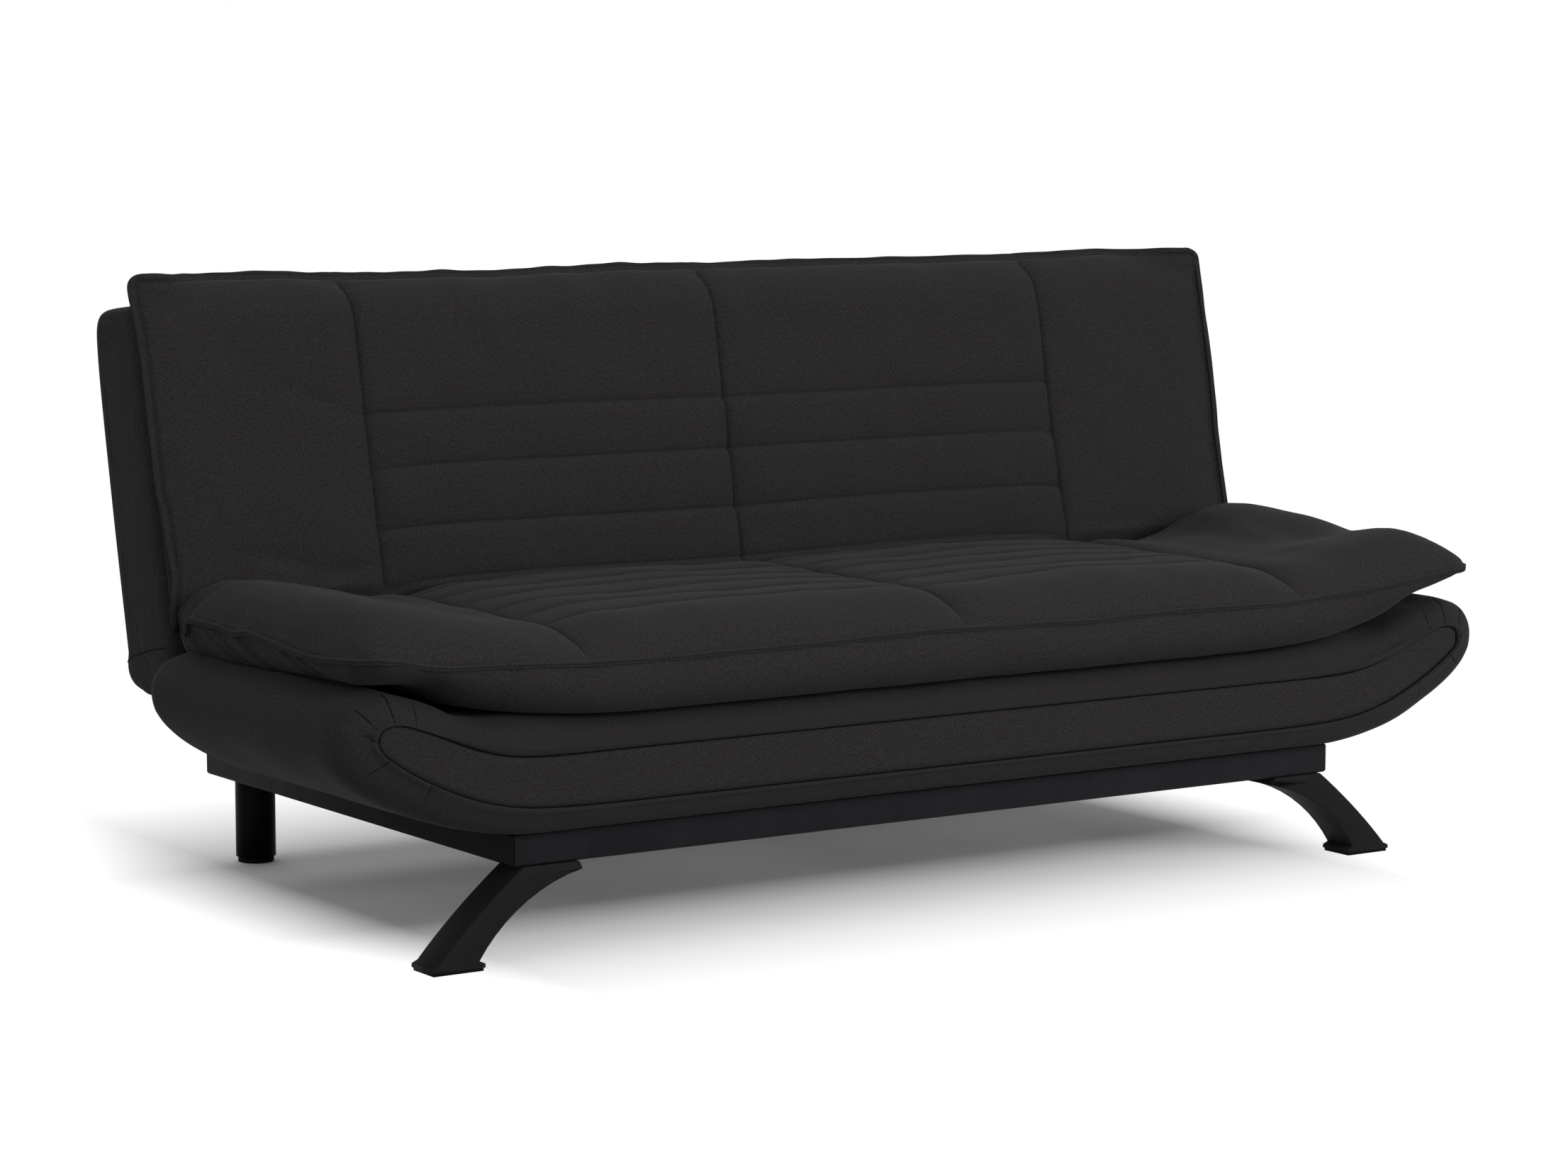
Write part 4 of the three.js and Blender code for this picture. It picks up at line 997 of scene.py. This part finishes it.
def joined_lines(name, paths, radius, body):
    """Sewn lines along several paths, as one piece."""
    work = bmesh.new()
    for path in paths:
        line = tube("line", path, radius, sides=6)
        work.from_mesh(line.data)
        bpy.data.objects.remove(line)
    mesh = bpy.data.meshes.new(name)
    work.to_mesh(mesh)
    work.free()
    seams = new_object(name, mesh)
    finish_piece(seams, thread)
    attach(seams, body)


def build_darts(body):
    """The sewn lines in the short seams round both arm ends."""
    tree, paths = surface(body), []
    t = np.linspace(0, 1, 13)
    for side in (-1, 1):
        for *places, depth in DARTS:
            x, z = [through(list(zip((0, 0.5, 1), values)), t) for values in zip(*places)]
            starts = np.stack([side * x, np.full_like(x, SEAT_FRONT - 0.2), z], axis=1)
            path = laid_on(tree, starts, (0, 1, 0))
            path[:, 1] += 0.0006 * (1 - depth) + 0.0008 * np.linspace(0, 1, len(path)) ** 3
            paths.append(path)
    joined_lines("arm_dart_seams", paths, 0.0009, "base")


# Back shell: padded box with a soft lip along its lower rear edge

# Depth behind the hinge and height up the lean, from the bottom's front round the rear to the top
SHELL_REAR_LINE = (
    (0.0660, -0.0468), (0.0930, -0.0455), (0.1140, -0.0375), (0.1350, -0.0285), (0.1460, -0.0195),
    (0.1505, -0.0100), (0.1490, -0.0025), (0.1455, 0.0025), (0.1428, 0.0085), (0.1422, 0.0200),
    (0.1420, 0.0500), (0.1415, 0.1200), (0.1405, 0.2000), (0.1390, 0.2800), (0.1375, 0.3600),
    (0.1355, 0.4200), (0.1330, 0.4560), (0.1300, 0.4800), (0.1270, 0.4950), (0.1215, 0.5060),
    (0.1120, 0.5125), (0.0980, 0.5145), (0.0780, 0.5138),
)
SHELL_TOP = 0.507
SHELL_BOTTOM = -0.047
SHELL_FRONT = 0.0005
SHELL_SIDE_DART = (
    (0.1425, 0.0085), (0.136, 0.0115), (0.118, 0.0150), (0.100, 0.0165), (0.053, 0.0175), (0.014, 0.016),
)
# How the shell's ends round over: distance in from the end, and share of the section's half thickness
SHELL_ENDS = (
    (0, 0.10), (0.0002, 0.40), (0.0006, 0.65), (0.0014, 0.80), (0.0030, 0.885), (0.0055, 0.94),
    (0.0095, 0.975), (0.0150, 0.993), (0.0230, 1.0),
)


def shell_section():
    """The closed outline of the shell, seen from its end."""
    section = []

    def arc(cv, cu, radius, start, end, steps):
        for k in range(steps + 1):
            turn = math.radians(start + (end - start) * k / steps)
            section.append((cv + radius * math.cos(turn), cu + radius * math.sin(turn)))

    arc(SHELL_FRONT + 0.010, SHELL_BOTTOM + 0.010, 0.010, 180, 270, 4)
    section.append((0.035, SHELL_BOTTOM))
    section += [tuple(place) for place in resampled_flat(np.array(SHELL_REAR_LINE), 0.005)]
    section += [(0.045, SHELL_TOP + 0.0035), (0.020, SHELL_TOP + 0.0004)]
    arc(SHELL_FRONT + 0.010, SHELL_TOP - 0.010, 0.010, 90, 180, 4)
    for up in np.linspace(SHELL_TOP - 0.04, SHELL_BOTTOM + 0.04, 16):
        section.append((SHELL_FRONT, up))
    return np.array(section)


def build_back_shell():
    section = shell_section()
    middle = section.mean(axis=0)
    size = (section.max(axis=0) - section.min(axis=0)) / 2
    inwards, shares = np.array(SHELL_ENDS).T
    x = np.concatenate([SHELL_HALF - inwards, np.linspace(SHELL_HALF - 0.045, 0, 44)])
    scale = np.concatenate([shares, np.ones(44)])
    x = np.concatenate([x, -x[-2::-1]])
    scale = np.concatenate([scale, scale[-2::-1]])
    rings = []
    for place, share in zip(x, scale):
        shrink = 1 - (1 - share) * size.min() / size
        v, u = (middle + (section - middle) * shrink).T
        v = v + 0.0018 * ripple(place, u, 0.3, 61) * (v > SHELL_FRONT + 0.02)
        u = u + 0.0022 * ripple(place, v, 0.35, 62) * smooth((u - SHELL_TOP + 0.06) / 0.03)
        rings.append(leaned(place, v, u))
    piece = lofted("back_shell", np.stack(rings))
    finish_piece(piece, fabric, levels=1)
    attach(piece, "back")
    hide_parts("back_cover")
    build_shell_seams(piece)


def build_shell_seams(shell):
    """The sewn lines across both ends of the shell and along the foot of its back."""
    depth, height = np.array(SHELL_SIDE_DART).T
    place = np.linspace(0, 1, 40)
    across = np.interp(place, np.linspace(0, 1, len(depth)), depth)
    up = through(np.stack([-depth, height], axis=1), -across)
    tree = surface(shell)
    paths = [laid_on(tree, leaned(side * 1.1, across, up), (-side, 0, 0)) for side in (-1, 1)]
    for low, high in ((-0.90, -0.69), (-0.64, 0.64), (0.69, 0.90)):
        x = np.linspace(low, high, round((high - low) / 0.011))
        paths.append(laid_on(tree, leaned(x, 0.3, 0.0085), (0, -math.cos(LEAN), math.sin(LEAN))))
    joined_lines("back_shell_seams", paths, 0.0010, "back")


def build_crease_strip():
    """Cloth folded down in the crease. It is carried by neither body, so it stays where it is as the back goes
    flat.
    """
    start, end = Vector((0, FRONT + 0.527, 0.395)), Vector((0, FRONT + 0.545, 0.411))
    t = np.linspace(0, 1, 14)
    y = start.y + (end.y - start.y) * t
    z = start.z + (end.z - start.z) * t + 0.004 * np.sin(math.pi * t)
    rings = []
    for place in np.linspace(-0.90, 0.90, 60):
        outer = np.stack([np.full_like(t, place), y, z], axis=1)
        inner = outer[::-1] - (0, -0.0015, 0.0025)
        rings.append(np.concatenate([outer, inner]))
    strip = lofted("crease_strip", np.stack(rings))
    finish_piece(strip, fabric)
    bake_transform(strip)


# Floor, light and camera

FLOOR_LIGHT = (0.48, 0.48, 0.48, 1)
FLOOR_SEEN = (0.68, 0.68, 0.68, 1)
# The floor keeps its tone between these corners, and is white 0.20 m sideways or 0.55 m forwards of them.
FLOOR_KEPT_LOW = (-0.70, -0.10, -1.0)
FLOOR_KEPT_HIGH = (0.70, 0.42, 1.0)
FLOOR_FADE = (1 / 0.20, 1 / 0.55, 0.0)
WORLD_LIGHT = 0.49


def build_stage():
    """A pale floor that fades to white away from the sofa, and that the camera sees as paler."""
    n = new_material("studio_floor")
    seen, place = n.seen(), n.place()
    kept = n.vector("MINIMUM", n.vector("MAXIMUM", place, FLOOR_KEPT_LOW), FLOOR_KEPT_HIGH)
    off = n.vector("ABSOLUTE", n.vector("SUBTRACT", place, kept), (0, 0, 0))
    far = n.vector("DOT_PRODUCT", off, FLOOR_FADE, output="Value")
    fade = n.range(far, 0.0, 1.0, 0.0, 1.0)
    lit = n.add("BsdfDiffuse", {"Color": n.mix(seen, FLOOR_LIGHT, FLOOR_SEEN)}).outputs[0]
    white = n.add("Emission", {"Color": (1, 1, 1, 1), "Strength": 1.0}).outputs[0]
    share = n.math("MULTIPLY", fade, seen)
    mixed = n.add("MixShader", {0: share, 1: lit, 2: white}).outputs[0]
    output = n.tree.nodes["Material Output"]
    n.tree.links.new(mixed, output.inputs["Surface"])
    n.tree.nodes.remove(n.tree.nodes["Principled BSDF"])
    bpy.ops.mesh.primitive_circle_add(vertices=96, radius=60, fill_type="NGON", location=(0, 0, -0.0002))
    floor = bpy.context.object
    floor.name = "floor"
    floor.data.materials.append(n.owner)


def build_world():
    world = bpy.data.worlds.new("studio")
    bpy.context.scene.world = world
    n = Nodes(world)
    strength = n.range(n.seen(), 0.0, 1.0, WORLD_LIGHT, 1.0)
    n.give(n.tree.nodes["Background"], {"Color": (1, 1, 1, 1), "Strength": strength})


def area_light(name, place, target, size, power):
    data = bpy.data.lights.new(name, "AREA")
    data.shape = "RECTANGLE"
    data.size, data.size_y = size
    data.energy = power
    lamp = new_object(name, data)
    lamp.location = place
    lamp.rotation_euler = (Vector(target) - Vector(place)).to_track_quat("-Z", "Y").to_euler()


def build_lights():
    area_light("overhead", (0.3, -0.2, 3.4), (0, 0, 0), (3.6, 2.6), 14)
    area_light("front", (1.3, -4.2, 1.9), (0, 0, 0.45), (3.0, 2.0), 120)
    area_light("fill", (-3.1, -1.5, 2.6), (0, 0, 0.4), (2.0, 1.6), 18)
    area_light("rim", (0.6, 3.4, 1.9), (0, 0.1, 0.45), (3.4, 0.8), 30)


def build_camera():
    data = bpy.data.cameras.new("camera")
    data.lens = CAMERA_LENS
    data.sensor_width = 36.0
    data.clip_end = 200
    camera = new_object("camera", data)
    camera.location = CAMERA_PLACE
    camera.rotation_euler = (math.pi / 2 + CAMERA_PITCH, 0, CAMERA_HEADING)
    bpy.context.scene.camera = camera


bpy.context.scene.view_settings.view_transform = "Standard"
build_camera()
build_world()
build_lights()
build_stage()
dress_cad_nodes()
seat_border = build_seat_cushion()
build_welt("seat_welt", seat_border, "base", (0, 0, 1), (1.0, 1.0))
back_border = build_back_cushion()
build_welt("back_welt", back_border, "back", (0, -math.cos(LEAN), math.sin(LEAN)), (1.1, 0.5))
build_seat_body()
build_back_shell()
build_crease_strip()
